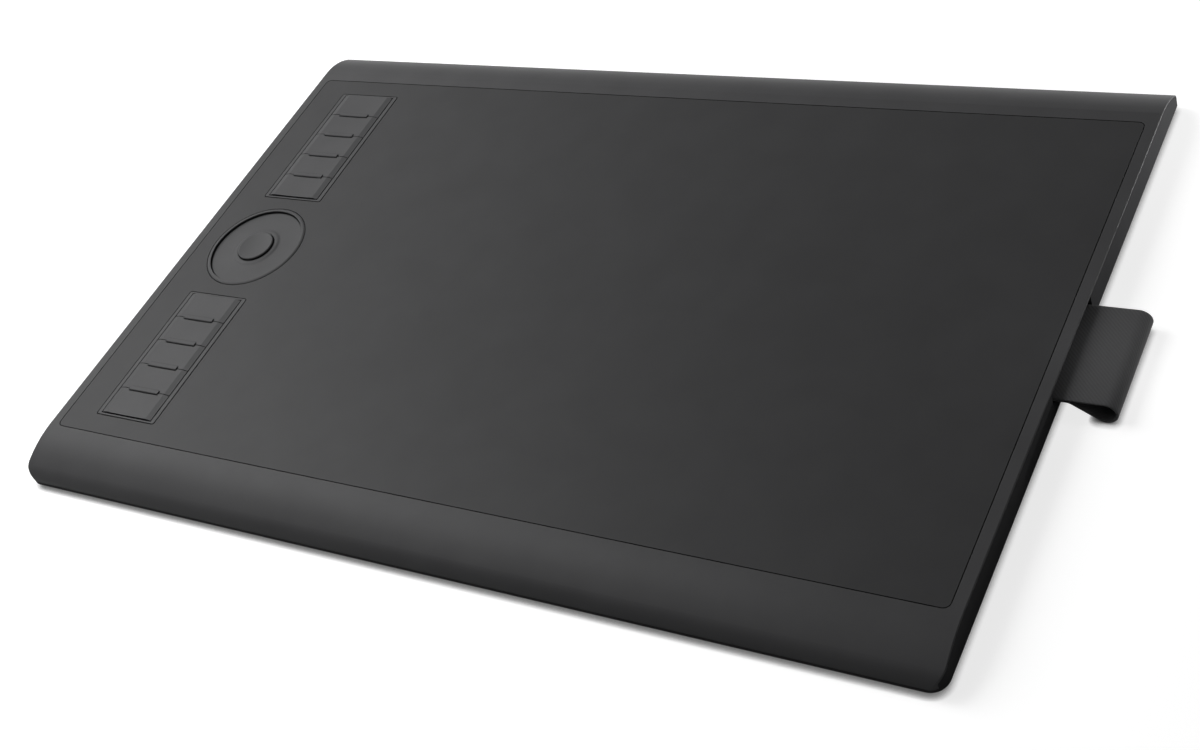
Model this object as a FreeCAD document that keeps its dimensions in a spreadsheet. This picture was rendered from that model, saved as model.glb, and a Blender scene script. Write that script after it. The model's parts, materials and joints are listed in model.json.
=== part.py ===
import FreeCAD, Part
import Sketcher
import math
import os

# Pen tablet: a thin case with rolled front and back edges, a flush work surface,
# two strips of five keys, a touch ring with a centre button and a folded fabric pen loop.
# X runs along the long side (keys at -X, loop at +X), Y to the back, Z up from the desk.

DIMENSIONS = (
    # Case
    ("case_width", 360.0),
    ("case_thickness", 10.35),
    ("case_wall", 1.8),
    ("floor_thickness", 1.6),
    ("cover_wall", 2.0),
    ("cover_edge", 0.5),
    ("cover_edge_round", 0.3),
    ("parting_gap", 0.1),
    ("front_parting_drop", 8.5),
    ("front_corner_radius", 5.5),
    ("back_corner_radius", 2.0),
    ("back_wall_slope", 1.3),
    ("bottom_chamfer", 0.7),
    # Rolled edges: each a wide arc, then a small nose; the back one starts beyond the panel
    ("front_roll_radius", 44.0),
    ("front_roll_run", 17.2),
    ("front_nose_radius", 6.5),
    ("back_roll_radius", 25.0),
    ("back_roll_run", 14.5),
    ("back_nose_radius", 2.3),
    ("back_flat_margin", 5.0),
    # Work surface and what lies under it
    ("panel_side_margin", 4.35),
    ("panel_end_margin", 8.3),
    ("panel_corner", 2.2),
    ("panel_thickness", 0.6),
    ("adhesive_thickness", 0.1),
    ("adhesive_margin", 1.5),
    ("seam_gap", 0.3),
    ("sensor_overlap", 7.0),
    ("sensor_clamp_gap", 5.0),
    ("sensor_end_margin", 11.5),
    ("sensor_thickness", 1.0),
    ("shield_thickness", 0.3),
    ("shield_margin", 3.0),
    ("rib_thickness", 1.2),
    ("rib_end_margin", 12.5),
    ("rib_pitch", 70.0),
    # Key strips
    ("strip_gap", 0.8),
    ("key_pitch", 12.3),
    ("key_gap", 0.25),
    ("key_width", 25.0),
    ("key_side_gap", 0.35),
    ("key_rise", 0.65),
    ("key_bevel", 2.4),
    ("key_bevel_drop", 0.5),
    ("key_dish", 0.15),
    ("key_top_thickness", 1.7),
    ("key_skirt", 1.4),
    ("key_flange", 0.7),
    ("key_flange_thickness", 0.8),
    ("key_travel", 0.5),
    ("retaining_gap", 0.1),
    ("tongue_width", 14.4),
    ("tongue_reach", 0.9),
    ("tongue_thickness", 1.4),
    ("ridge_height", 0.3),
    ("ridge_inset", 1.0),
    ("nub_size", 2.8),
    ("nub_root", 0.4),
    ("frame_side_wall", 1.75),
    ("frame_end_wall", 0.775),
    ("frame_corner", 0.8),
    ("frame_bead", 0.1),
    ("frame_foot", 3.0),
    ("frame_pocket_gap", 0.4),
    # Circuit boards and switches
    ("board_thickness", 1.0),
    ("board_stand", 0.75),
    ("stand_size", 4.0),
    ("frame_stand_x", 9.65),
    ("ring_stand_x", 11.7),
    ("usb_stand_y", 6.6),
    ("tab_overlap", 1.0),
    ("tab_reach", 6.6),
    ("tab_width", 14.0),
    ("switch_size", 6.0),
    ("switch_height", 1.8),
    ("switch_lid", 0.3),
    ("switch_floor", 0.3),
    ("switch_cavity", 4.8),
    ("plunger_size", 2.4),
    ("plunger_flange_size", 4.2),
    ("plunger_flange", 0.5),
    ("plunger_rise", 0.6),
    ("running_gap", 0.05),
    ("main_board_width", 32.0),
    ("main_board_gap", 5.0),
    ("connector_depth", 4.0),
    ("connector_margin", 1.0),
    ("connector_height", 0.9),
    ("chip_x", 8.0),
    ("chip_y", 15.0),
    ("chip_size", 10.0),
    ("small_chip_y", 30.0),
    ("small_chip_size", 5.0),
    ("chip_height", 1.2),
    ("flex_thickness", 0.15),
    ("flex_width", 8.0),
    ("flex_overlap", 4.0),
    ("flex_clearance", 0.65),
    ("sensor_flex_y", 24.0),
    ("sensor_flex_width", 18.0),
    # Charging and data inlet
    ("socket_y", 50.0),
    ("socket_width", 7.6),
    ("socket_height", 2.7),
    ("socket_length", 5.6),
    ("socket_wall", 0.35),
    ("socket_chamfer", 0.8),
    ("socket_tongue", 0.7),
    ("socket_setback", 0.4),
    ("inlet_gap", 0.7),
    ("usb_board_width", 11.0),
    ("usb_board_depth", 18.0),
    ("usb_frame_gap", 2.5),
    # Touch ring
    ("ring_radius", 21.05),
    ("ring_rim_slope", 0.65),
    ("ring_rim_width", 1.45),
    ("ring_rise", 0.3),
    ("ring_edge_depth", 0.6),
    ("ring_dish_depth", 0.1),
    ("ring_dish_floor", 5.0),
    ("collar_radius", 8.6),
    ("collar_slope", 1.9),
    ("collar_drop", 0.3),
    ("collar_step", 0.4),
    ("ring_plate_drop", 2.9),
    ("ring_wall", 1.0),
    ("ring_fit", 0.2),
    ("ring_foot", 2.35),
    ("electrode_thickness", 0.2),
    ("electrode_margin", 1.2),
    ("button_radius", 7.48),
    ("button_gap", 0.25),
    ("button_rise", 0.6),
    ("button_edge_round", 0.4),
    ("button_dish", 0.25),
    ("button_dish_floor", 4.0),
    ("button_top_thickness", 1.2),
    ("button_wall", 1.2),
    ("button_flange", 1.1),
    ("button_flange_thickness", 0.8),
    # Pen loop
    ("loop_y", 0.65),
    ("loop_width", 38.6),
    ("loop_reach", 18.4),
    ("loop_thickness", 0.6),
    ("loop_desk_gap", 0.15),
    ("loop_drop", 3.75),
    ("loop_layer_gap", 0.2),
    ("loop_fold_start", 3.0),
    ("loop_fold_radius", 3.0),
    ("loop_tail", 15.0),
    ("loop_clearance", 0.1),
    ("slot_margin", 0.8),
    ("clamp_thickness", 0.9),
    ("clamp_depth", 12.0),
    ("clamp_setback", 5.0),
    ("clamp_margin", 5.5),
    # Fasteners
    ("screw_x", 12.0),
    ("screw_radius", 0.95),
    ("screw_length", 5.0),
    ("screw_head_radius", 2.0),
    ("screw_head_height", 1.2),
    ("screw_hole_gap", 0.1),
    ("screw_boss_wall", 1.6),
    ("screw_boss_drop", 1.6),
    ("small_screw_radius", 0.7),
    ("small_screw_length", 3.0),
    ("small_head_radius", 1.3),
    ("small_head_height", 0.6),
    # Feet
    ("foot_proud", 1.5),
    ("foot_recess", 0.6),
    ("foot_length", 36.0),
    ("foot_width", 9.0),
    ("foot_gap", 0.1),
    ("foot_bevel", 0.5),
    ("foot_side_inset", 62.0),
    ("foot_end_inset", 14.5),
)
KEYS_PER_STRIP = 5
SCREW_SIDES = 6
RING_BOARD_SIDES = 8
HIDDEN_SIDES = 12
TINY = 1e-4

doc = FreeCAD.newDocument("PenTablet")
sheet = doc.addObject("Spreadsheet::Sheet", "Sizes")
for row, (alias, length) in enumerate(DIMENSIONS, start=1):
    sheet.set("A%d" % row, alias)
    sheet.set("B%d" % row, repr(length))
    sheet.setAlias("B%d" % row, alias)
doc.recompute()


class Size:
    """A length in millimetres, with the expression of sheet cells that gives it."""

    def __init__(self, value, text):
        self.value = value
        self.text = text

    def __add__(self, other):
        other = as_size(other)
        return Size(self.value + other.value, "(%s + %s)" % (self.text, other.text))

    def __sub__(self, other):
        other = as_size(other)
        return Size(self.value - other.value, "(%s - %s)" % (self.text, other.text))

    def __mul__(self, other):
        other = as_size(other)
        return Size(self.value * other.value, "(%s * %s)" % (self.text, other.text))

    def __truediv__(self, other):
        other = as_size(other)
        return Size(self.value / other.value, "(%s / %s)" % (self.text, other.text))

    def __neg__(self):
        return Size(-self.value, "(-1 * %s)" % self.text)

    def root(self):
        return Size(math.sqrt(self.value), "sqrt(%s)" % self.text)


def as_size(number):
    """A plain number as a size."""
    if isinstance(number, Size):
        return number
    return Size(float(number), repr(float(number)))


class Cells:
    """The sheet's cells, each read as a size by its alias."""

    def __getattr__(self, alias):
        return Size(float(sheet.get(alias)), "Sizes." + alias)


s = Cells()
ZERO = as_size(0)

# Levels above the desk
floor_bottom = s.foot_proud
floor_top = s.foot_proud + s.floor_thickness
top = s.foot_proud + s.case_thickness
front_parting = top - s.front_parting_drop
cover_underside = top - s.cover_wall
recess_floor = top - s.panel_thickness - s.adhesive_thickness
sensor_bottom = cover_underside - s.sensor_thickness
shield_bottom = sensor_bottom - s.shield_thickness
board_bottom = floor_top + s.board_stand
board_top = board_bottom + s.board_thickness
switch_top = board_top + s.switch_height
plunger_top = switch_top + s.plunger_rise

# Plan of the case, measured from the panel's centre
half_width = s.case_width / 2
inner_half_width = half_width - s.case_wall

# Key frames and ring: the keys give a frame its size, and the inlet's board its place
frame_opening_x = s.key_width / 2 + s.key_side_gap
frame_opening_y = (s.key_pitch * KEYS_PER_STRIP - s.key_gap) / 2 + s.key_side_gap
frame_pocket_x = s.key_width / 2 + s.key_flange + s.frame_pocket_gap
frame_half_x = frame_opening_x + s.frame_side_wall
frame_half_y = frame_opening_y + s.frame_end_wall
frame_base_x = frame_half_x + s.frame_foot
frame_base_y = frame_half_y + s.frame_foot
ring_base_radius = s.ring_radius + s.ring_foot
usb_board_left = -inner_half_width + s.parting_gap
usb_board_right = usb_board_left + s.usb_board_width
strip_x = usb_board_right + s.usb_frame_gap + frame_base_x
strip_y = ring_base_radius + s.strip_gap + frame_base_y
tab_edge = frame_base_x + s.tab_reach

# The panel reaches past the strips to the front and back, and nearly across the case
panel_half_width = half_width - s.panel_side_margin
panel_half_depth = strip_y + frame_half_y + s.panel_end_margin
front_flat = panel_half_depth
back_flat = panel_half_depth + s.back_flat_margin


def roll_end(flat, radius, run, nose):
    """How far from the centre a rolled edge ends: flat, wide arc, then the nose's quarter."""
    return flat + run + nose - nose * run / radius


def roll_rise(radius, run):
    """How high a wide arc still stands where its run ends, as a share of its radius."""
    share = run / radius
    return (as_size(1) - share * share).root()


front_y = roll_end(front_flat, s.front_roll_radius, s.front_roll_run, s.front_nose_radius)
back_y = roll_end(back_flat, s.back_roll_radius, s.back_roll_run, s.back_nose_radius)
back_nose_reach = s.back_roll_radius - s.back_nose_radius
back_nose_rise = roll_rise(s.back_roll_radius, s.back_roll_run)
back_parting = top - s.back_roll_radius + back_nose_reach * back_nose_rise
back_foot_y = back_y + s.back_wall_slope

# The back wall leans out to its foot, where the bottom chamfer takes off the outermost edge
back_wall_height = back_parting - floor_bottom
back_wall_length = (s.back_wall_slope * s.back_wall_slope + back_wall_height * back_wall_height).root()
back_reach = back_foot_y - s.bottom_chamfer * s.back_wall_slope / back_wall_length

# The part's origin is under the middle of its whole footprint, the pen loop included
case_x = -(s.loop_reach / 2)
case_y = (front_y - back_reach) / 2


def new_body(name, x=ZERO, y=ZERO, z=ZERO):
    """An empty body at a place given from the case's centre at desk level."""
    body = doc.addObject("PartDesign::Body", name)
    body.Label = name
    place(body, x, y, z)
    return body


def place(item, x=ZERO, y=ZERO, z=ZERO):
    item.setExpression("Placement.Base.x", (case_x + x).text)
    item.setExpression("Placement.Base.y", (case_y + y).text)
    item.setExpression("Placement.Base.z", as_size(z).text)


def new_sketch(body, name, role="XY_Plane", offset=None):
    """A sketch on one of the body's own origin planes, moved along its normal."""
    sketch = body.newObject("Sketcher::SketchObject", body.Name + "_" + name)
    plane = next(item for item in body.Origin.OriginFeatures if item.Role == role)
    sketch.AttachmentSupport = [(plane, "")]
    sketch.MapMode = "FlatFace"
    if offset is not None:
        sketch.setExpression("AttachmentOffset.Base.z", as_size(offset).text)
    return sketch


def constrain(sketch, size, *reference):
    """Add one constraint and bind its size to the sheet when it has one."""
    if size is None:
        return sketch.addConstraint(Sketcher.Constraint(*reference))
    size = as_size(size)
    index = sketch.addConstraint(Sketcher.Constraint(*reference, size.value))
    sketch.setExpression("Constraints[%d]" % index, size.text)
    return index


def pin(sketch, geometry, end, x=None, y=None):
    """Hold a point of a line, arc or circle at a distance from the sketch's origin."""
    if x is not None:
        constrain(sketch, x, "DistanceX", -1, 1, geometry, end)
    if y is not None:
        constrain(sketch, y, "DistanceY", -1, 1, geometry, end)


def point(x, y):
    return FreeCAD.Vector(as_size(x).value, as_size(y).value, 0)


def add_polygon(sketch, corners):
    """A closed outline of straight lines through corners given as pairs of sizes."""
    lines = []
    for index, corner in enumerate(corners):
        following = corners[(index + 1) % len(corners)]
        lines.append(sketch.addGeometry(Part.LineSegment(point(*corner), point(*following)), False))
    for index, line in enumerate(lines):
        constrain(sketch, None, "Coincident", line, 2, lines[(index + 1) % len(lines)], 1)
        pin(sketch, line, 1, corners[index][0], corners[index][1])


def add_dished(sketch, corners, dish, radius):
    """Straight lines from corner to corner, closed by a hollow arc from the last to the first."""
    lines = [
        sketch.addGeometry(Part.LineSegment(point(*first), point(*second)), False)
        for first, second in zip(corners, corners[1:])
    ]
    for index, line in enumerate(lines):
        pin(sketch, line, 1, *corners[index])
        if index:
            constrain(sketch, None, "Coincident", lines[index - 1], 2, line, 1)
    pin(sketch, lines[-1], 2, *corners[-1])
    dish = sketch.addGeometry(dish, False)
    constrain(sketch, None, "Coincident", dish, 1, lines[-1], 2)
    constrain(sketch, None, "Coincident", dish, 2, lines[0], 1)
    constrain(sketch, radius, "Radius", dish)


def add_rectangle(sketch, x0, x1, y0, y1):
    add_polygon(sketch, ((x0, y0), (x1, y0), (x1, y1), (x0, y1)))


def add_square(sketch, x, y, size):
    half = size / 2
    add_rectangle(sketch, x - half, x + half, y - half, y + half)


def add_regular(sketch, x, y, radius, sides):
    """A regular outline whose flat sides lie at a radius from its middle."""
    reach = radius / math.cos(math.pi / sides)
    angles = [math.tau * (number + 0.5) / sides for number in range(sides)]
    add_polygon(sketch, [
        (x + reach * math.cos(angle), y + reach * math.sin(angle)) for angle in angles
    ])


def add_hidden_round(sketch, radius):
    """A round that nothing shows, drawn as straight sides with their corners at a radius."""
    flat_radius = radius * math.cos(math.pi / HIDDEN_SIDES)
    add_regular(sketch, ZERO, ZERO, flat_radius, HIDDEN_SIDES)


def add_circle(sketch, x, y, radius):
    axis = FreeCAD.Vector(0, 0, 1)
    circle = sketch.addGeometry(Part.Circle(point(x, y), axis, as_size(radius).value), False)
    pin(sketch, circle, 3, x, y)
    constrain(sketch, radius, "Radius", circle)


def arc_geometry(centre, radius, start, end):
    """An arc that turns anticlockwise from one angle in degrees to another."""
    circle = Part.Circle(centre, FreeCAD.Vector(0, 0, 1), radius)
    return Part.ArcOfCircle(circle, math.radians(start), math.radians(end))


def add_rounded_rectangle(sketch, x0, x1, y0, y1, front_radius, back_radius=None):
    """A rectangle with rounded corners; the two at y1 can have a radius of their own."""
    back_radius = front_radius if back_radius is None else back_radius
    left, right, low, high = x0.value, x1.value, y0.value, y1.value
    fr, br = front_radius.value, back_radius.value
    sides = (
        ((left + fr, low), (right - fr, low)),
        ((right, low + fr), (right, high - br)),
        ((right - br, high), (left + br, high)),
        ((left, high - br), (left, low + fr)),
    )
    lines = [
        sketch.addGeometry(Part.LineSegment(FreeCAD.Vector(*a, 0), FreeCAD.Vector(*b, 0)), False)
        for a, b in sides
    ]
    corners = (
        (right - fr, low + fr, fr, 270, 360, front_radius),
        (right - br, high - br, br, 0, 90, back_radius),
        (left + br, high - br, br, 90, 180, back_radius),
        (left + fr, low + fr, fr, 180, 270, front_radius),
    )
    for index, (x, y, radius, start, end, size) in enumerate(corners):
        arc = sketch.addGeometry(arc_geometry(FreeCAD.Vector(x, y, 0), radius, start, end), False)
        constrain(sketch, None, "Tangent", lines[index], 2, arc, 1)
        constrain(sketch, None, "Tangent", arc, 2, lines[(index + 1) % len(lines)], 1)
        constrain(sketch, size, "Radius", arc)
    for line, direction in zip(lines, ("Horizontal", "Vertical", "Horizontal", "Vertical")):
        constrain(sketch, None, direction, line)
    pin(sketch, lines[0], 1, y=y0)
    pin(sketch, lines[1], 1, x=x1)
    pin(sketch, lines[2], 1, y=y1)
    pin(sketch, lines[3], 1, x=x0)


def extrude(body, sketch, kind, length, midplane=False, reversed_way=False):
    feature = body.newObject("PartDesign::" + kind, sketch.Name + "_" + kind.lower())
    feature.Profile = sketch
    feature.Type = "Length"
    feature.Midplane = midplane
    feature.Reversed = reversed_way
    feature.setExpression("Length", as_size(length).text)
    sketch.Visibility = False
    return feature


def pad(body, sketch, length, midplane=False):
    """Material from the sketch along its plane's normal, or to both sides of it."""
    return extrude(body, sketch, "Pad", length, midplane)


def cut(body, sketch, length):
    """Take away material for a depth on each side of the sketch."""
    return extrude(body, sketch, "Pocket", as_size(length) * 2, midplane=True)


def revolve(body, sketch):
    feature = body.newObject("PartDesign::Revolution", sketch.Name + "_revolution")
    feature.Profile = sketch
    feature.ReferenceAxis = (sketch, ["V_Axis"])
    feature.Angle = 360
    return feature


def dress(body, kind, wanted, size):
    """A fillet or chamfer on those edges of the body's last feature that a test picks."""
    doc.recompute()
    base = body.Tip
    edges = [
        "Edge%d" % number for number, edge in enumerate(base.Shape.Edges, start=1) if wanted(edge)
    ]
    feature = body.newObject("PartDesign::" + kind, body.Name + "_" + kind.lower())
    feature.Base = (base, edges)
    feature.setExpression("Radius" if kind == "Fillet" else "Size", as_size(size).text)
    return feature


def add_roll_outline(sketch, inset, low):
    """The case's side view, drawn inside its outer skin by an inset and closed at a low level.

    Each rolled edge is a wide arc that leaves the flat top tangentially, then a small nose that
    ends upright. All insets share the arcs' centres.
    """
    inset = as_size(inset)
    low = as_size(low)

    def roll(side, flat, radius, run, nose):
        share = run.value / radius.value
        rise = math.sqrt(1 - share * share)
        centre_z = top.value - radius.value
        nose_y = flat.value + (radius.value - nose.value) * share
        nose_z = centre_z + (radius.value - nose.value) * rise
        wide = radius.value - inset.value
        small = nose.value - inset.value
        angle = math.degrees(math.acos(share))
        if side > 0:
            wide_angles = (angle, 90)
            small_angles = (0, angle)
        else:
            wide_angles = (90, 180 - angle)
            small_angles = (180 - angle, 180)
        wide_arc = arc_geometry(FreeCAD.Vector(side * flat.value, centre_z, 0), wide, *wide_angles)
        small_arc = arc_geometry(FreeCAD.Vector(side * nose_y, nose_z, 0), small, *small_angles)
        end_y = side * (nose_y + small)
        wall = Part.LineSegment(
            FreeCAD.Vector(end_y, nose_z, 0), FreeCAD.Vector(end_y, low.value, 0)
        )
        wide_arc = sketch.addGeometry(wide_arc, False)
        small_arc = sketch.addGeometry(small_arc, False)
        wall = sketch.addGeometry(wall, False)
        # An arc runs anticlockwise, so its first and second ends swap with the side
        upper, lower = (2, 1) if side > 0 else (1, 2)
        constrain(sketch, None, "Tangent", wide_arc, lower, small_arc, upper)
        constrain(sketch, None, "Tangent", small_arc, lower, wall, 1)
        constrain(sketch, radius - inset, "Radius", wide_arc)
        constrain(sketch, nose - inset, "Radius", small_arc)
        constrain(sketch, None, "Vertical", wall)
        reach = flat + (radius - nose) * run / radius
        pin(sketch, small_arc, 3, x=reach if side > 0 else -reach)
        return wide_arc, upper, wall

    front = roll(-1, front_flat, s.front_roll_radius, s.front_roll_run, s.front_nose_radius)
    back = roll(1, back_flat, s.back_roll_radius, s.back_roll_run, s.back_nose_radius)
    level = top.value - inset.value
    flat = sketch.addGeometry(
        Part.LineSegment(
            FreeCAD.Vector(-front_flat.value, level, 0),
            FreeCAD.Vector(back_flat.value, level, 0),
        ),
        False,
    )
    ends = [sketch.Geometry[wall].EndPoint for wall in (front[2], back[2])]
    base = sketch.addGeometry(Part.LineSegment(*ends), False)
    constrain(sketch, None, "Tangent", flat, 1, front[0], front[1])
    constrain(sketch, None, "Tangent", flat, 2, back[0], back[1])
    constrain(sketch, None, "Horizontal", flat)
    pin(sketch, flat, 1, x=-front_flat, y=top - inset)
    pin(sketch, flat, 2, x=back_flat)
    constrain(sketch, None, "Coincident", base, 1, front[2], 2)
    constrain(sketch, None, "Coincident", base, 2, back[2], 2)
    constrain(sketch, None, "Horizontal", base)
    pin(sketch, base, 1, y=low)


def cut_footprint(body):
    """Round the case's four corners in plan by cutting away what lies outside them."""
    outside = s.case_width
    sketch = new_sketch(body, "footprint", offset=top / 2)
    add_rectangle(sketch, -outside, outside, -outside, outside)
    add_rounded_rectangle(
        sketch, -half_width, half_width, -front_y, back_foot_y,
        s.front_corner_radius, s.back_corner_radius,
    )
    cut(body, sketch, top)


def foot_places():
    foot_x = half_width - s.foot_side_inset
    front = -front_y + s.foot_end_inset
    back = back_y - s.foot_end_inset
    return (
        ("front_left_foot", -foot_x, front),
        ("front_right_foot", foot_x, front),
        ("back_left_foot", -foot_x, back),
        ("back_right_foot", foot_x, back),
    )


def case_screw_places():
    """Two case screws above each foot, which hides them."""
    return [(x + s.screw_x * side, y) for _, x, y in foot_places() for side in (-1, 1)]


def strips():
    return (("upper", strip_y), ("lower", -strip_y))


def opposite_corners(x, y, half_x, half_y):
    """Two corners of a rectangle, the front left one and the back right one."""
    return [(x - half_x, y - half_y), (x + half_x, y + half_y)]


def corner_places(x, y, half_x, half_y):
    """The four corners of a rectangle about a centre."""
    return [(x + half_x * i, y + half_y * j) for i in (-1, 1) for j in (-1, 1)]


screw_hole_radius = s.screw_radius + s.screw_hole_gap
foot_seat = floor_bottom + s.foot_recess
counterbore_radius = s.screw_head_radius + s.screw_hole_gap
counterbore_top = foot_seat + s.screw_hole_gap + s.screw_head_height
post_size = (counterbore_radius + s.screw_boss_wall) * 2
post_top = counterbore_top + s.screw_boss_wall
boss_size = (s.screw_radius + s.screw_boss_wall) * 2
small_hole_radius = s.small_screw_radius + s.running_gap

# Places that several pieces share
board_screw_inset = s.small_head_radius + s.running_gap
frame_screw_x = frame_base_x - board_screw_inset
frame_screw_y = frame_base_y - board_screw_inset
ring_screw_offset = (s.ring_radius + ring_base_radius) / 2 * math.sqrt(0.5)
main_left = strip_x + tab_edge + s.main_board_gap
main_right = main_left + s.main_board_width
main_board_x = (main_left + main_right) / 2
main_screw_x = s.main_board_width / 2 - board_screw_inset
main_screw_y = s.socket_y + s.flex_width / 2 + s.flex_clearance + s.stand_size / 2
main_half_depth = main_screw_y + board_screw_inset
loop_radius = (top - s.loop_drop - s.loop_desk_gap) / 2
loop_root_bottom = top - s.loop_drop - s.loop_thickness * 2 - s.loop_layer_gap
clamp_seat = loop_root_bottom - s.loop_clearance
clamp_bottom = top - s.loop_drop + s.loop_clearance
clamp_right = half_width - s.clamp_setback
clamp_left = clamp_right - s.clamp_depth
clamp_half_length = s.loop_width / 2 + s.clamp_margin
clamp_screw_y = s.loop_width / 2 + s.clamp_margin / 2
clamp_screw_x = (clamp_left + clamp_right) / 2
main_screws = corner_places(main_board_x, ZERO, main_screw_x, main_screw_y)
sensor_left = main_left + s.sensor_overlap
sensor_right = clamp_left - s.sensor_clamp_gap
sensor_x = (sensor_left + sensor_right) / 2
sensor_half_depth = panel_half_depth - s.sensor_end_margin


def make_bottom_case():
    """The tray: floor, upright side walls up to the cover's edge, front strip and back wall."""
    body = new_body("bottom_case")

    sketch = new_sketch(body, "tray", "YZ_Plane")
    back_inner = back_y - s.case_wall
    add_polygon(sketch, (
        (-front_y, floor_bottom),
        (back_foot_y, floor_bottom),
        (back_y, back_parting),
        (back_inner, back_parting),
        (back_inner, front_parting),
        (-front_y, front_parting),
    ))
    pad(body, sketch, s.case_width, midplane=True)

    sketch = new_sketch(body, "side_walls", "YZ_Plane")
    add_roll_outline(sketch, s.cover_edge + s.parting_gap, floor_bottom)
    pad(body, sketch, s.case_width, midplane=True)

    sketch = new_sketch(body, "inside", "YZ_Plane")
    beyond = s.case_width / 2
    above = top * 2
    front_inner = -front_y + s.case_wall
    add_polygon(sketch, (
        (front_inner, floor_top),
        (back_inner, floor_top),
        (back_inner, back_parting),
        (beyond, back_parting),
        (beyond, above),
        (-beyond, above),
        (-beyond, front_parting),
        (front_inner, front_parting),
    ))
    cut(body, sketch, inner_half_width)
    cut_footprint(body)

    lowest = floor_bottom.value + TINY
    dress(body, "Chamfer", lambda edge: edge.BoundBox.ZMax < lowest, s.bottom_chamfer)

    # Slot in the right wall for the pen loop
    sketch = new_sketch(body, "loop_slot", "YZ_Plane", half_width)
    half_slot = s.loop_width / 2 + s.slot_margin
    add_rectangle(sketch, -half_slot, half_slot, clamp_seat, above)
    cut(body, sketch, s.case_wall + s.parting_gap)

    # Inlet in the left wall
    sketch = new_sketch(body, "inlet", "YZ_Plane", -half_width)
    half_inlet = s.socket_width / 2 + s.inlet_gap
    add_rectangle(
        sketch, s.socket_y - half_inlet, s.socket_y + half_inlet,
        board_top - s.inlet_gap / 2, board_top + s.socket_height + s.inlet_gap,
    )
    cut(body, sketch, s.case_wall + s.parting_gap)

    # Seats for the rubber feet
    sketch = new_sketch(body, "foot_seats", offset=floor_bottom)
    for _, x, y in foot_places():
        half_length = s.foot_length / 2 + s.foot_gap
        half_breadth = s.foot_width / 2 + s.foot_gap
        add_rectangle(
            sketch, x - half_length, x + half_length, y - half_breadth, y + half_breadth
        )
    cut(body, sketch, s.foot_recess)

    # Posts round the case screws, ribs under the sensor, stands under the boards
    sketch = new_sketch(body, "posts", offset=floor_top)
    for x, y in case_screw_places():
        add_square(sketch, x, y, post_size)
    pad(body, sketch, post_top - floor_top)

    sketch = new_sketch(body, "ribs", offset=floor_top)
    half_rib = s.rib_thickness / 2
    rib_end = sensor_half_depth - s.rib_end_margin
    for step in (-1, 0, 1):
        x = sensor_x + s.rib_pitch * step
        add_rectangle(sketch, x - half_rib, x + half_rib, -rib_end, rib_end)
    pad(body, sketch, shield_bottom - floor_top)

    sketch = new_sketch(body, "stands", offset=floor_top)
    stands = list(main_screws)
    for _, y in strips():
        stands.extend(corner_places(strip_x, y, s.frame_stand_x, frame_screw_y))
    usb_middle = (usb_board_left + usb_board_right) / 2
    for end in (-1, 1):
        stands.append((strip_x + s.ring_stand_x * end, ZERO))
        stands.append((usb_middle, s.socket_y + s.usb_stand_y * end))
    for x, y in stands:
        add_square(sketch, x, y, s.stand_size)
    pad(body, sketch, s.board_stand)

    sketch = new_sketch(body, "clamp_seat", offset=floor_top)
    add_rectangle(
        sketch, clamp_left, clamp_right,
        s.loop_y - clamp_half_length, s.loop_y + clamp_half_length,
    )
    pad(body, sketch, clamp_seat - floor_top)
    sketch = new_sketch(body, "clamp_bosses", offset=clamp_seat)
    for end in (-1, 1):
        add_square(sketch, clamp_screw_x, s.loop_y + clamp_screw_y * end, s.stand_size)
    pad(body, sketch, clamp_bottom - clamp_seat)

    # Screw holes
    sketch = new_sketch(body, "counterbores", offset=floor_bottom)
    for x, y in case_screw_places():
        add_regular(sketch, x, y, counterbore_radius, SCREW_SIDES)
    cut(body, sketch, counterbore_top - floor_bottom)
    sketch = new_sketch(body, "screw_holes", offset=post_top)
    for x, y in case_screw_places():
        add_regular(sketch, x, y, screw_hole_radius, SCREW_SIDES)
    cut(body, sketch, s.screw_boss_wall)
    sketch = new_sketch(body, "stand_holes", offset=board_bottom)
    for x, y in main_screws:
        add_regular(sketch, x, y, small_hole_radius, SCREW_SIDES)
    cut(body, sketch, s.small_screw_length - s.board_thickness + s.running_gap)
    sketch = new_sketch(body, "clamp_holes", offset=clamp_bottom)
    for end in (-1, 1):
        y = s.loop_y + clamp_screw_y * end
        add_regular(sketch, clamp_screw_x, y, small_hole_radius, SCREW_SIDES)
    cut(body, sketch, s.small_screw_length - s.clamp_thickness + s.running_gap)


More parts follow.
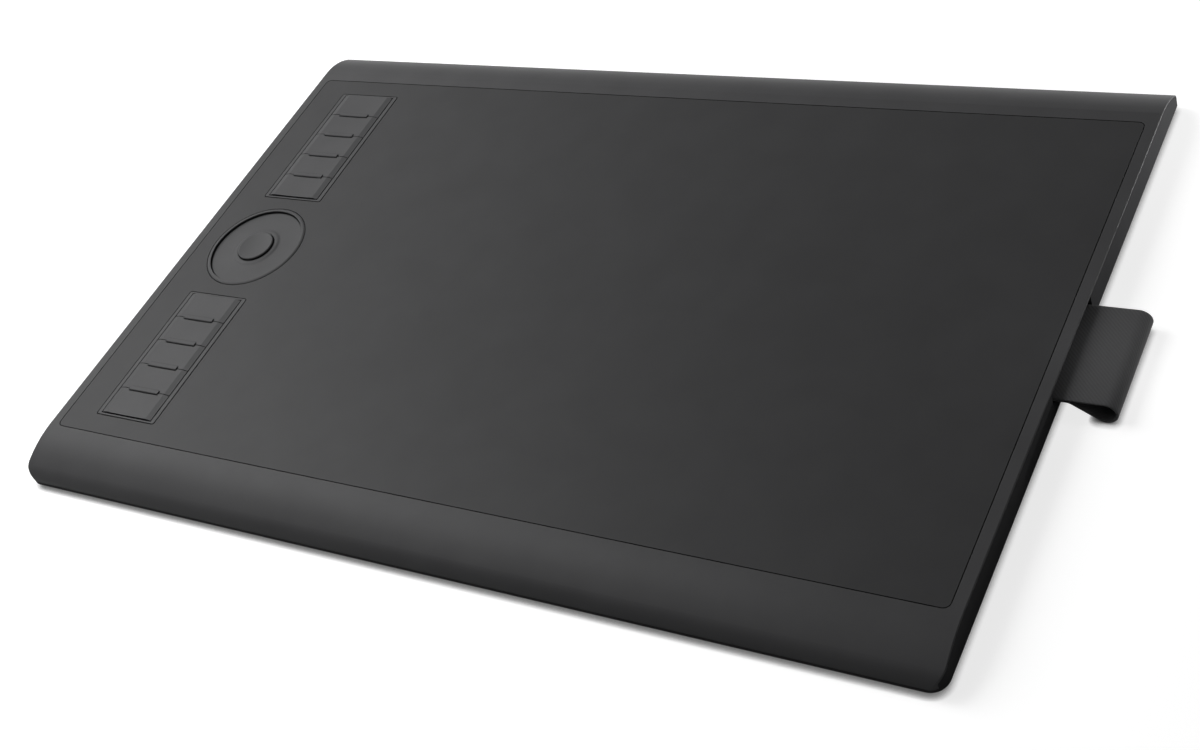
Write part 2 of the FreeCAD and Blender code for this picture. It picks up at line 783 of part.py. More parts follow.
def make_top_cover():
    """The arched cover: one rolled sheet with a recess for the work surface and three windows."""
    body = new_body("top_cover")
    sketch = new_sketch(body, "outside", "YZ_Plane")
    add_roll_outline(sketch, ZERO, floor_bottom)
    pad(body, sketch, s.case_width, midplane=True)

    sketch = new_sketch(body, "inside", "YZ_Plane")
    add_roll_outline(sketch, s.cover_wall, ZERO)
    cut(body, sketch, half_width)

    # Thin lips along both sides, which the side walls meet from below
    lip_inner = inner_half_width - s.parting_gap
    for name, side in (("right_lip", 1), ("left_lip", -1)):
        sketch = new_sketch(body, name, "YZ_Plane", (half_width + s.case_wall) * side)
        add_roll_outline(sketch, s.cover_edge, ZERO)
        cut(body, sketch, half_width + s.case_wall - lip_inner)

    sketch = new_sketch(body, "parting", "YZ_Plane")
    beyond = s.case_width / 2
    middle = front_flat / 2
    add_polygon(sketch, (
        (-beyond, -top),
        (beyond, -top),
        (beyond, back_parting + s.parting_gap),
        (middle, back_parting + s.parting_gap),
        (-middle, front_parting + s.parting_gap),
        (-beyond, front_parting + s.parting_gap),
    ))
    cut(body, sketch, half_width)
    cut_footprint(body)

    sketch = new_sketch(body, "bosses", offset=post_top)
    for x, y in case_screw_places():
        add_square(sketch, x, y, boss_size)
    pad(body, sketch, top - s.screw_boss_drop - post_top)
    sketch = new_sketch(body, "pilot_holes", offset=post_top)
    for x, y in case_screw_places():
        add_regular(sketch, x, y, screw_hole_radius, SCREW_SIDES)
    cut(body, sketch, counterbore_top + s.screw_length - post_top + s.screw_hole_gap)

    sketch = new_sketch(body, "recess", offset=top)
    half_x = panel_half_width + s.seam_gap
    half_y = panel_half_depth + s.seam_gap
    add_rounded_rectangle(sketch, -half_x, half_x, -half_y, half_y, s.panel_corner + s.seam_gap)
    cut(body, sketch, top - recess_floor)
    cut_windows(body, s.seam_gap, top, s.cover_wall * 2)

    dress(body, "Fillet", is_outer_side_edge, s.cover_edge_round)


def is_outer_side_edge(edge):
    """Whether an edge of the cover bounds its outer surface at a side or a corner."""
    middle = edge.valueAt((edge.FirstParameter + edge.LastParameter) / 2)
    at_side = abs(abs(middle.x) - half_width.value) < TINY and edge.BoundBox.XLength < TINY
    rolled = middle.y < -front_flat.value or middle.y > back_flat.value
    round_corner = abs(middle.x) > (half_width - s.front_corner_radius).value
    level = edge.BoundBox.ZLength < TINY
    return on_outer_skin(middle) and (at_side or (rolled and round_corner and not level))


def on_outer_skin(middle):
    """Whether a point lies on the rolled outer surface rather than under it."""
    y, z = middle.y, middle.z
    if -front_flat.value <= y <= back_flat.value:
        return abs(z - top.value) < TINY
    if y < 0:
        side, flat, radius = -1, front_flat.value, s.front_roll_radius.value
        run, nose = s.front_roll_run.value, s.front_nose_radius.value
    else:
        side, flat, radius = 1, back_flat.value, s.back_roll_radius.value
        run, nose = s.back_roll_run.value, s.back_nose_radius.value
    share = run / radius
    centre_z = top.value - radius
    if abs(y) <= flat + run:
        return abs(math.hypot(y - side * flat, z - centre_z) - radius) < TINY
    nose_y = side * (flat + (radius - nose) * share)
    nose_z = centre_z + (radius - nose) * math.sqrt(1 - share * share)
    if z < nose_z:
        return abs(abs(y) - abs(nose_y) - nose) < TINY
    return abs(math.hypot(y - nose_y, z - nose_z) - nose) < TINY


def cut_windows(body, gap, level, depth):
    """The windows for both key frames and the touch ring, each wider than its piece by a gap."""
    sketch = new_sketch(body, "windows", offset=level)
    half_x = frame_half_x + gap
    half_y = frame_half_y + gap
    for _, y in strips():
        add_rounded_rectangle(
            sketch, strip_x - half_x, strip_x + half_x, y - half_y, y + half_y,
            s.frame_corner + gap,
        )
    add_circle(sketch, strip_x, ZERO, s.ring_radius + gap)
    cut(body, sketch, depth)


def make_work_surface():
    """The drawing sheet, flush with the cover, and the adhesive film that holds it."""
    body = new_body("work_surface")
    sketch = new_sketch(body, "outline", offset=top - s.panel_thickness)
    add_rounded_rectangle(
        sketch, -panel_half_width, panel_half_width, -panel_half_depth, panel_half_depth,
        s.panel_corner,
    )
    pad(body, sketch, s.panel_thickness)
    cut_windows(body, s.seam_gap, top, s.panel_thickness * 2)

    body = new_body("surface_adhesive")
    sketch = new_sketch(body, "outline", offset=recess_floor)
    half_x = panel_half_width - s.adhesive_margin
    half_y = panel_half_depth - s.adhesive_margin
    add_rectangle(sketch, -half_x, half_x, -half_y, half_y)
    half_x = frame_half_x + s.adhesive_margin
    half_y = frame_half_y + s.adhesive_margin
    for _, y in strips():
        add_rectangle(sketch, strip_x - half_x, strip_x + half_x, y - half_y, y + half_y)
    add_regular(sketch, strip_x, ZERO, s.ring_radius + s.adhesive_margin, HIDDEN_SIDES)
    pad(body, sketch, s.adhesive_thickness)


def make_plate(name, x0, x1, y0, y1, bottom, thickness, holes=()):
    """A flat plate with holes for small screws."""
    body = new_body(name)
    sketch = new_sketch(body, "outline", offset=bottom)
    add_rectangle(sketch, x0, x1, y0, y1)
    for x, y in holes:
        add_regular(sketch, x, y, small_hole_radius, SCREW_SIDES)
    pad(body, sketch, thickness)
    return body


def make_sensor():
    """The antenna board under the cover's plate and the steel shield behind it."""
    make_plate(
        "sensor_board", sensor_left, sensor_right, -sensor_half_depth, sensor_half_depth,
        sensor_bottom, s.sensor_thickness,
    )
    shield_end = sensor_half_depth - s.shield_margin
    make_plate(
        "shield_plate", sensor_left + s.shield_margin, sensor_right - s.shield_margin,
        -shield_end, shield_end, shield_bottom, s.shield_thickness,
    )


def make_key_frame(name, y):
    """The raised frame round a key strip, with the guide box under the cover that holds it."""
    body = new_body(name + "_key_frame", strip_x, y)
    sketch = new_sketch(body, "base", offset=board_top)
    add_rectangle(sketch, -frame_base_x, frame_base_x, -frame_base_y, frame_base_y)
    pad(body, sketch, cover_underside - board_top)

    sketch = new_sketch(body, "collar", offset=board_top)
    add_rounded_rectangle(
        sketch, -frame_half_x, frame_half_x, -frame_half_y, frame_half_y, s.frame_corner
    )
    pad(body, sketch, top + s.frame_bead - board_top)
    crest = (top + s.frame_bead).value - TINY
    dress(body, "Chamfer", lambda edge: edge.BoundBox.ZMin > crest, s.frame_bead)

    sketch = new_sketch(body, "opening", offset=top)
    add_rectangle(sketch, -frame_opening_x, frame_opening_x, -frame_opening_y, frame_opening_y)
    cut(body, sketch, top)
    sketch = new_sketch(body, "pocket", offset=board_top)
    add_rectangle(sketch, -frame_pocket_x, frame_pocket_x, -frame_opening_y, frame_opening_y)
    cut(body, sketch, cover_underside - board_top)
    sketch = new_sketch(body, "screw_holes", offset=board_top)
    for x, y in opposite_corners(ZERO, ZERO, frame_screw_x, frame_screw_y):
        add_regular(sketch, x, y, small_hole_radius, SCREW_SIDES)
    cut(body, sketch, s.small_screw_length - s.board_thickness + s.running_gap)


def key_centres(y):
    """Key centres in a strip, from the back to the front."""
    middle = (KEYS_PER_STRIP - 1) / 2
    return [y + s.key_pitch * (middle - index) for index in range(KEYS_PER_STRIP)]


def make_key(name, y, has_tongue, has_notch):
    """One key: dished top, bevelled sides, hollow skirt with retaining flanges and a nub.

    All but the front-most key have a tongue with a raised ridge, which reaches into a notch in
    the next key. Heights are measured from the work surface.
    """
    body = new_body(name, strip_x, y, top)
    half_x = s.key_width / 2
    half_y = (s.key_pitch - s.key_gap) / 2
    crown = half_x - s.key_bevel
    edge = s.key_rise - s.key_bevel_drop
    flange_top = -s.cover_wall - s.retaining_gap
    flange_bottom = flange_top - s.key_flange_thickness
    flange_x = half_x + s.key_flange

    sketch = new_sketch(body, "section", "XZ_Plane")
    dish_radius = (crown * crown + s.key_dish * s.key_dish) / s.key_dish / 2
    angle = math.degrees(math.asin(crown.value / dish_radius.value))
    centre = point(ZERO, s.key_rise - s.key_dish + dish_radius)
    dish = arc_geometry(centre, dish_radius.value, 270 - angle, 270 + angle)
    add_dished(sketch, (
        (crown, s.key_rise),
        (half_x, edge),
        (half_x, flange_top),
        (flange_x, flange_top),
        (flange_x, flange_bottom),
        (-flange_x, flange_bottom),
        (-flange_x, flange_top),
        (-half_x, flange_top),
        (-half_x, edge),
        (-crown, s.key_rise),
    ), dish, dish_radius)
    pad(body, sketch, half_y * 2, midplane=True)

    sketch = new_sketch(body, "hollow", offset=flange_bottom)
    hollow_x = half_x - s.key_skirt
    hollow_y = half_y - s.key_skirt
    add_rectangle(sketch, -hollow_x, hollow_x, -hollow_y, hollow_y)
    ceiling = s.key_rise - s.key_top_thickness
    cut(body, sketch, ceiling - flange_bottom)

    nub_bottom = plunger_top - top
    sketch = new_sketch(body, "nub", offset=nub_bottom)
    add_square(sketch, ZERO, ZERO, s.nub_size)
    pad(body, sketch, ceiling + s.nub_root - nub_bottom)

    if has_tongue:
        sketch = new_sketch(body, "tongue", "YZ_Plane")
        tip = -half_y - s.tongue_reach
        crest = s.key_rise + s.ridge_height
        low = s.key_rise - s.tongue_thickness
        inner = -half_y + s.ridge_inset
        add_polygon(sketch, (
            (tip, low),
            (inner, low),
            (inner, s.key_rise - s.key_dish),
            (inner - s.ridge_height, crest),
            (tip + s.ridge_height, crest),
            (tip, s.key_rise),
        ))
        pad(body, sketch, s.tongue_width, midplane=True)
    if has_notch:
        sketch = new_sketch(body, "notch", offset=crest_level())
        half_notch = s.tongue_width / 2 + s.key_gap
        inner = half_y - s.tongue_reach
        outer = half_y + s.key_gap
        add_rectangle(sketch, -half_notch, half_notch, inner, outer)
        cut(body, sketch, crest_level() - s.key_rise + s.tongue_thickness + s.key_travel + s.key_gap)


def crest_level():
    """The height of the tongues' ridges above the work surface."""
    return s.key_rise + s.ridge_height


def make_plunger(name, x, y):
    """A switch plunger: a square stem through the switch's lid, which retains its flange."""
    body = new_body(name, x, y)
    flange_top = switch_top - s.switch_lid - s.running_gap
    flange_bottom = flange_top - s.plunger_flange
    sketch = new_sketch(body, "flange", offset=flange_bottom)
    add_square(sketch, ZERO, ZERO, s.plunger_flange_size)
    pad(body, sketch, s.plunger_flange)
    sketch = new_sketch(body, "stem", offset=flange_bottom)
    add_square(sketch, ZERO, ZERO, s.plunger_size)
    pad(body, sketch, plunger_top - flange_bottom)


def make_switches(name, places):
    """Tactile switch housings, each with a cavity for its plunger, standing on a board."""
    body = new_body(name)
    sketch = new_sketch(body, "housings", offset=board_top)
    for x, y in places:
        add_square(sketch, x, y, s.switch_size)
    pad(body, sketch, s.switch_height)
    cavity_top = switch_top - s.switch_lid
    cavity_bottom = board_top + s.switch_floor
    middle = (cavity_top + cavity_bottom) / 2
    sketch = new_sketch(body, "cavities", offset=middle)
    for x, y in places:
        add_square(sketch, x, y, s.switch_cavity)
    cut(body, sketch, cavity_top - middle)
    sketch = new_sketch(body, "bores", offset=switch_top)
    for x, y in places:
        add_square(sketch, x, y, s.plunger_size + s.running_gap * 2)
    cut(body, sketch, s.switch_lid * 2)


def make_strip(name, y, first_key):
    """A key strip: its frame, board, switches, keys and plungers."""
    make_key_frame(name, y)
    make_tab_board(name + "_key_board", y)
    centres = key_centres(y)
    make_switches(name + "_key_switches", [(strip_x, centre) for centre in centres])
    for index, centre in enumerate(centres):
        number = first_key + index
        make_key("key_%d" % number, centre, index < KEYS_PER_STRIP - 1, index > 0)
        make_plunger("key_%d_plunger" % number, strip_x, centre)


def tab_y(y):
    """Where a strip board's connector tab lies, turned towards the main board's middle."""
    side = 1 if y.value > 0 else -1
    return y - (frame_base_y - s.tab_width) * side


def make_tab_board(name, y):
    """A key strip's circuit board, with a tab towards the main board."""
    holes = opposite_corners(strip_x, y, frame_screw_x, frame_screw_y)
    body = make_plate(
        name, strip_x - frame_base_x, strip_x + frame_base_x, y - frame_base_y, y + frame_base_y,
        board_bottom, s.board_thickness, holes,
    )
    add_tab(body, frame_base_x - s.tab_overlap, tab_y(y))


def add_tab(body, start, y):
    """A connector tab on a board under the keys, up to the tabs' common edge."""
    sketch = new_sketch(body, "tab", offset=board_bottom)
    half = s.tab_width / 2
    add_rectangle(sketch, strip_x + start, strip_x + tab_edge, y - half, y + half)
    pad(body, sketch, s.board_thickness)


def make_ring():
    """The touch ring: raised rim, dished ring with a collar, electrode, board and button."""
    ledge = -s.cover_wall
    base = board_top - top
    rim_inner = s.ring_radius - s.ring_rim_width
    ring_outer = rim_inner - s.ring_fit
    holes = opposite_corners(ZERO, ZERO, ring_screw_offset, ring_screw_offset)

    body = new_body("ring_rim", strip_x, ZERO, top)
    sketch = new_sketch(body, "foot", offset=base)
    add_regular(sketch, ZERO, ZERO, ring_base_radius, RING_BOARD_SIDES)
    add_circle(sketch, ZERO, ZERO, rim_inner)
    pad(body, sketch, ledge - base)
    sketch = new_sketch(body, "section", "XZ_Plane")
    add_polygon(sketch, (
        (rim_inner, base),
        (rim_inner, s.ring_rise),
        (s.ring_radius - s.ring_rim_slope, s.ring_rise),
        (s.ring_radius, ZERO),
        (s.ring_radius, base),
    ))
    revolve(body, sketch)
    sketch = new_sketch(body, "screw_holes", offset=base)
    for x, y in holes:
        add_regular(sketch, x, y, small_hole_radius, SCREW_SIDES)
    cut(body, sketch, s.small_screw_length - s.board_thickness + s.running_gap)

    body = new_body("touch_ring", strip_x, ZERO, top)
    sketch = new_sketch(body, "section", "XZ_Plane")
    bore = s.button_radius + s.button_gap
    dish_inner = s.collar_radius + s.collar_slope
    collar_z = -s.collar_drop
    dish_inner_z = collar_z - s.collar_step
    dish_z = (dish_inner_z - s.ring_edge_depth) / 2 - s.ring_dish_depth
    dish_middle = (dish_inner + ring_outer) / 2
    plate = -s.ring_plate_drop
    wall_radius = ring_outer - s.ring_wall
    add_polygon(sketch, (
        (ring_outer, -s.ring_edge_depth),
        (ring_outer, base),
        (bore, base),
        (bore, collar_z),
        (s.collar_radius, collar_z),
        (dish_inner, dish_inner_z),
        (dish_middle - s.ring_dish_floor / 2, dish_z),
        (dish_middle + s.ring_dish_floor / 2, dish_z),
    ))
    revolve(body, sketch)
    sketch = new_sketch(body, "underside", offset=base)
    add_hidden_round(sketch, wall_radius)
    cut(body, sketch, plate - base)

    body = new_body("ring_electrode", strip_x, ZERO, top)
    sketch = new_sketch(body, "outline", offset=plate - s.electrode_thickness)
    flange = s.button_radius + s.button_flange
    add_hidden_round(sketch, wall_radius - s.ring_fit)
    add_hidden_round(sketch, flange + s.electrode_margin)
    pad(body, sketch, s.electrode_thickness)

    body = new_body("ring_board")
    sketch = new_sketch(body, "outline", offset=board_bottom)
    add_regular(sketch, strip_x, ZERO, ring_base_radius, RING_BOARD_SIDES)
    for x, y in holes:
        add_regular(sketch, strip_x + x, y, small_hole_radius, SCREW_SIDES)
    pad(body, sketch, s.board_thickness)
    add_tab(body, ring_base_radius - s.tab_overlap, ZERO)

    make_button(flange, plate)
    make_switches("centre_switch", [(strip_x, ZERO)])
    make_plunger("centre_plunger", strip_x, ZERO)


def make_button(flange_radius, plate):
    """The centre button: a hollow dished cap with a flange under the ring and a nub."""
    body = new_body("centre_button", strip_x, ZERO, top)
    sketch = new_sketch(body, "section", "XZ_Plane")
    flange_top = plate - s.retaining_gap
    flange_bottom = flange_top - s.button_flange_thickness
    ceiling = s.button_rise - s.button_dish - s.button_top_thickness
    inner = s.button_radius - s.button_wall
    nub_bottom = plunger_top - top
    rounded = s.button_radius - s.button_edge_round
    dish_z = s.button_rise - s.button_dish
    add_polygon(sketch, (
        (ZERO, dish_z),
        (s.button_dish_floor, dish_z),
        (rounded, s.button_rise),
        (s.button_radius, s.button_rise - s.button_edge_round),
        (s.button_radius, flange_bottom),
        (ZERO, flange_bottom),
    ))
    revolve(body, sketch)
    sketch = new_sketch(body, "flange", offset=flange_bottom)
    add_hidden_round(sketch, flange_radius)
    pad(body, sketch, s.button_flange_thickness)
    sketch = new_sketch(body, "hollow", offset=flange_bottom)
    add_hidden_round(sketch, inner)
    cut(body, sketch, ceiling - flange_bottom)
    sketch = new_sketch(body, "nub", offset=nub_bottom)
    add_square(sketch, ZERO, ZERO, s.nub_size)
    pad(body, sketch, ceiling + s.nub_root - nub_bottom)


def make_main_board():
    """The controller board with its chips and flat-cable connectors, and the inlet's board."""
    make_plate(
        "main_board", main_left, main_right, -main_half_depth, main_half_depth,
        board_bottom, s.board_thickness, main_screws,
    )
    body = new_body("main_board_parts")
    sketch = new_sketch(body, "connectors", offset=board_top)
    back_edge = main_left + s.flex_overlap
    half = s.flex_width / 2 + s.connector_margin
    for _, y in strips():
        add_rectangle(
            sketch, back_edge, back_edge + s.connector_depth, tab_y(y) - half, tab_y(y) + half
        )
    half = s.sensor_flex_width / 2 + s.connector_margin
    add_rectangle(
        sketch, sensor_flex_end(), sensor_flex_end() + s.connector_depth,
        -s.sensor_flex_y - half, -s.sensor_flex_y + half,
    )
    pad(body, sketch, s.connector_height)
    sketch = new_sketch(body, "chips", offset=board_top)
    add_square(sketch, main_board_x + s.chip_x, s.chip_y, s.chip_size)
    add_square(sketch, main_board_x + s.chip_x, s.small_chip_y, s.small_chip_size)
    pad(body, sketch, s.chip_height)

    half = s.usb_board_depth / 2
    make_plate(
        "usb_board", usb_board_left, usb_board_right, s.socket_y - half, s.socket_y + half,
        board_bottom, s.board_thickness,
    )


def sensor_flex_end():
    """Where the antenna's flat cable ends on the main board."""
    return sensor_left + s.flex_overlap


def make_flat_cable(name, y, level):
    """A short flat cable that lies across from a board's tab to the main board."""
    body = new_body(name)
    sketch = new_sketch(body, "outline", offset=level)
    half = s.flex_width / 2
    start = strip_x + tab_edge - s.flex_overlap
    add_rectangle(sketch, start, main_left + s.flex_overlap, y - half, y + half)
    pad(body, sketch, s.flex_thickness)


def make_flat_cables():
    for name, y in strips():
        make_flat_cable(name + "_key_cable", tab_y(y), board_top)
    make_flat_cable("ring_cable", ZERO, board_bottom - s.flex_thickness)

    # The inlet's cable dips to the floor and passes under the back key board
    body = new_body("usb_cable", ZERO, s.socket_y)
    sketch = new_sketch(body, "path", "XZ_Plane")
    start = usb_board_right - s.flex_overlap
    end = main_left + s.flex_overlap
    ramp = s.board_stand * 2
    thick = s.flex_thickness
    add_polygon(sketch, (
        (start, board_bottom),
        (start, board_bottom - thick),
        (usb_board_right + thick, board_bottom - thick),
        (usb_board_right + ramp, floor_top),
        (main_left - ramp, floor_top),
        (main_left - thick, board_bottom - thick),
        (end, board_bottom - thick),
        (end, board_bottom),
        (main_left - thick * 2, board_bottom),
        (main_left - ramp - thick, floor_top + thick),
        (usb_board_right + ramp + thick, floor_top + thick),
        (usb_board_right + thick * 2, board_bottom),
    ))
    pad(body, sketch, s.flex_width, midplane=True)

    # The antenna's cable folds down from the sensor's edge to the main board
    body = new_body("sensor_cable", ZERO, -s.sensor_flex_y)
    sketch = new_sketch(body, "path", "XZ_Plane")
    edge = sensor_left
    outer = edge - s.connector_depth / 2
    high = (sensor_bottom + cover_underside) / 2
    low = board_top
    end = sensor_flex_end()
    add_polygon(sketch, (
        (edge, high),
        (outer, high),
        (outer, low),
        (end, low),
        (end, low + thick),
        (outer + thick, low + thick),
        (outer + thick, high - thick),
        (edge, high - thick),
    ))
    pad(body, sketch, s.sensor_flex_width, midplane=True)


def make_usb_socket():
    """The inlet: a folded metal shell with a tongue inside, open to the left."""
    body = new_body("usb_socket")
    mouth = -half_width + s.socket_setback
    half = s.socket_width / 2
    low = board_top
    high = board_top + s.socket_height
    chamfer = s.socket_chamfer

    def outline(sketch, inset):
        add_polygon(sketch, (
            (s.socket_y - half + chamfer + inset / 2, low + inset),
            (s.socket_y + half - chamfer - inset / 2, low + inset),
            (s.socket_y + half - inset, low + chamfer + inset / 2),
            (s.socket_y + half - inset, high - inset),
            (s.socket_y - half + inset, high - inset),
            (s.socket_y - half + inset, low + chamfer + inset / 2),
        ))

    sketch = new_sketch(body, "shell", "YZ_Plane", mouth)
    outline(sketch, ZERO)
    pad(body, sketch, s.socket_length)
    sketch = new_sketch(body, "mouth", "YZ_Plane", mouth)
    outline(sketch, s.socket_wall)
    cut(body, sketch, s.socket_length - s.socket_wall)
    sketch = new_sketch(body, "tongue", "YZ_Plane", mouth + s.socket_wall * 2)
    tongue_low = low + s.socket_height / 2
    half_tongue = half - chamfer
    add_rectangle(
        sketch, s.socket_y - half_tongue, s.socket_y + half_tongue,
        tongue_low, tongue_low + s.socket_tongue,
    )
    pad(body, sketch, s.socket_length - s.socket_wall * 2)


def loop_outline(inset):
    """One face of the folded strap, from its upper tail to its lower tail, inset from its outside.

    The strap leaves the case level, turns round a circle at its tip and comes back along a line
    that is tangent to that circle and to the gentle bend where the lower layer leaves the case.
    """
    tail = half_width.value - s.loop_tail.value
    upper = top.value - s.loop_drop.value - inset
    radius = loop_radius.value
    bend = s.loop_fold_radius.value
    centre = FreeCAD.Vector(
        half_width.value + s.loop_reach.value - radius, 0, top.value - s.loop_drop.value - radius
    )
    lower = loop_root_bottom.value + inset
    bend_centre = FreeCAD.Vector(
        half_width.value + s.loop_fold_start.value, 0, loop_root_bottom.value - bend
    )
    between = centre - bend_centre
    slope = math.atan2(between.z, between.x) - math.asin((radius + bend) / between.Length)
    turn = radius - inset
    curve = bend + inset

    def on_circle(middle, size, angle):
        return middle + FreeCAD.Vector(size * math.cos(angle), 0, size * math.sin(angle))

    tip_top = on_circle(centre, turn, math.pi / 2)
    tip_mid = on_circle(centre, turn, slope / 2)
    tip_low = on_circle(centre, turn, slope - math.pi / 2)
    bend_out = on_circle(bend_centre, curve, slope + math.pi / 2)
    bend_mid = on_circle(bend_centre, curve, slope / 2 + math.pi / 2)
    bend_in = on_circle(bend_centre, curve, math.pi / 2)
    return [
        Part.LineSegment(FreeCAD.Vector(tail, 0, upper), tip_top).toShape(),
        Part.Arc(tip_top, tip_mid, tip_low).toShape(),
        Part.LineSegment(tip_low, bend_out).toShape(),
        Part.Arc(bend_out, bend_mid, bend_in).toShape(),
        Part.LineSegment(bend_in, FreeCAD.Vector(tail, 0, lower)).toShape(),
    ]


def make_pen_loop():
    """The fabric strap, folded into a loop with both tails held side by side in the case."""
    outer = loop_outline(0.0)
    inner = loop_outline(s.loop_thickness.value)
    start = Part.LineSegment(inner[0].Vertexes[0].Point, outer[0].Vertexes[0].Point).toShape()
    end = Part.LineSegment(outer[-1].Vertexes[-1].Point, inner[-1].Vertexes[-1].Point).toShape()
    wire = Part.Wire(Part.__sortEdges__(outer + inner + [start, end]))
    face = Part.Face(wire)
    front = s.loop_y.value - s.loop_width.value / 2
    face.translate(FreeCAD.Vector(0, front, 0))
    strap = doc.addObject("Part::Feature", "pen_loop")
    strap.Label = "pen_loop"
    strap.Shape = face.extrude(FreeCAD.Vector(0, s.loop_width.value, 0))
    place(strap)


def make_strap_clamp():
    """The bar that presses the strap's tails onto their seat, with a hole at each end."""
    places = [(clamp_screw_x, s.loop_y + clamp_screw_y * end) for end in (-1, 1)]
    make_plate(
        "strap_clamp", clamp_left, clamp_right,
        s.loop_y - clamp_half_length, s.loop_y + clamp_half_length,
        clamp_bottom, s.clamp_thickness, places,
    )
    make_screws(
        "clamp_screws", places, clamp_bottom + s.clamp_thickness, 1, s.small_screw_radius,
        s.small_screw_length, s.small_head_radius, s.small_head_height,
    )


def make_screws(name, places, seat, side, radius, length, head_radius, head_height):
    """Identical screws, with few faces; their heads lie above the seat, or below it."""
    body = new_body(name)
    sketch = new_sketch(body, "heads", offset=seat + head_height * side / 2)
    for x, y in places:
        add_regular(sketch, x, y, head_radius, SCREW_SIDES)
    pad(body, sketch, head_height, midplane=True)
    sketch = new_sketch(body, "shanks", offset=seat - length * side / 2)
    for x, y in places:
        add_regular(sketch, x, y, radius, SCREW_SIDES)
    pad(body, sketch, length, midplane=True)


def make_fasteners():
    make_screws(
        "case_screws", case_screw_places(), counterbore_top, -1, s.screw_radius, s.screw_length,
        s.screw_head_radius, s.screw_head_height,
    )
    places = []
    for _, y in strips():
        places.extend(opposite_corners(strip_x, y, frame_screw_x, frame_screw_y))
    places.extend(opposite_corners(strip_x, ZERO, ring_screw_offset, ring_screw_offset))
    make_screws(
        "board_screws", places, board_bottom, -1, s.small_screw_radius, s.small_screw_length,
        s.small_head_radius, s.small_head_height,
    )
    make_screws(
        "main_board_screws", main_screws, board_top, 1, s.small_screw_radius,
        s.small_screw_length, s.small_head_radius, s.small_head_height,
    )


def make_feet():
    """Four rubber feet, glued into their seats."""
    for name, x, y in foot_places():
        body = new_body(name, x, y)
        sketch = new_sketch(body, "outline")
        half_length = s.foot_length / 2
        half_breadth = s.foot_width / 2
        add_rectangle(sketch, -half_length, half_length, -half_breadth, half_breadth)
        pad(body, sketch, s.foot_proud + s.foot_recess)
        dress(body, "Chamfer", lambda edge: edge.BoundBox.ZMax < TINY, s.foot_bevel)


def make_tablet():
    make_bottom_case()
    make_top_cover()
    make_work_surface()
    make_sensor()
    make_strip("upper", strip_y, 1)
    make_strip("lower", -strip_y, 1 + KEYS_PER_STRIP)
    make_ring()
    make_main_board()
    make_flat_cables()
    make_usb_socket()
    make_pen_loop()
    make_strap_clamp()
    make_fasteners()
    make_feet()


def export_parts():
    """Check every object and write one file for each sub-part."""
    doc.recompute()
    for item in doc.Objects:
        if "Invalid" in item.State or "Error" in item.State:
            raise RuntimeError("%s failed: %s" % (item.Name, item.State))
    kept = [
        item for item in doc.Objects
        if item.TypeId == "PartDesign::Body" or item.Name == "pen_loop"
    ]
    for item in kept:
        if item.Shape.isNull() or not item.Shape.isValid():
            raise RuntimeError("%s has no valid shape" % item.Label)
    os.makedirs("parts", exist_ok=True)
    for item in kept:
        item.Shape.exportStep("parts/%s.step" % item.Label)
    print("%d sub-parts written" % len(kept))


make_tablet()
export_parts()
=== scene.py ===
import json
import math

import bmesh
import bpy
from mathutils import Euler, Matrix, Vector


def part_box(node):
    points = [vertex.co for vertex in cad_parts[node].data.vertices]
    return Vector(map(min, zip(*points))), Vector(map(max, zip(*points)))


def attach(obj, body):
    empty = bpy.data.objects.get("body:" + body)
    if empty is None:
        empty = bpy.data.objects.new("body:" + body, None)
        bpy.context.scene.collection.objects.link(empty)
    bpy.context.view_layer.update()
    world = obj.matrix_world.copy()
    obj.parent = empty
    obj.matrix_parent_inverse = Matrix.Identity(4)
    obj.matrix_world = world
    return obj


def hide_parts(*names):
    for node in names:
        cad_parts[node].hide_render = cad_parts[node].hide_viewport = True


# Looks of the pen tablet. Lengths are in metres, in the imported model's frame.

MM = 0.001

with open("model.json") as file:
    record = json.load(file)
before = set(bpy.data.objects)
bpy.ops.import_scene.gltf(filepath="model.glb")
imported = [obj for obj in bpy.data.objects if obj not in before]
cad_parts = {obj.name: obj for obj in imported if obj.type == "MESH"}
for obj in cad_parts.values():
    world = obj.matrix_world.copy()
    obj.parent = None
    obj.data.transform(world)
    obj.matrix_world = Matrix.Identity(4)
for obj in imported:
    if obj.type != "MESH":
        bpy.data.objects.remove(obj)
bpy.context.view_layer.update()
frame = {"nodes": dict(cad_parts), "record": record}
nodes = frame["nodes"]


# Materials

PROBE_SAMPLES = 6


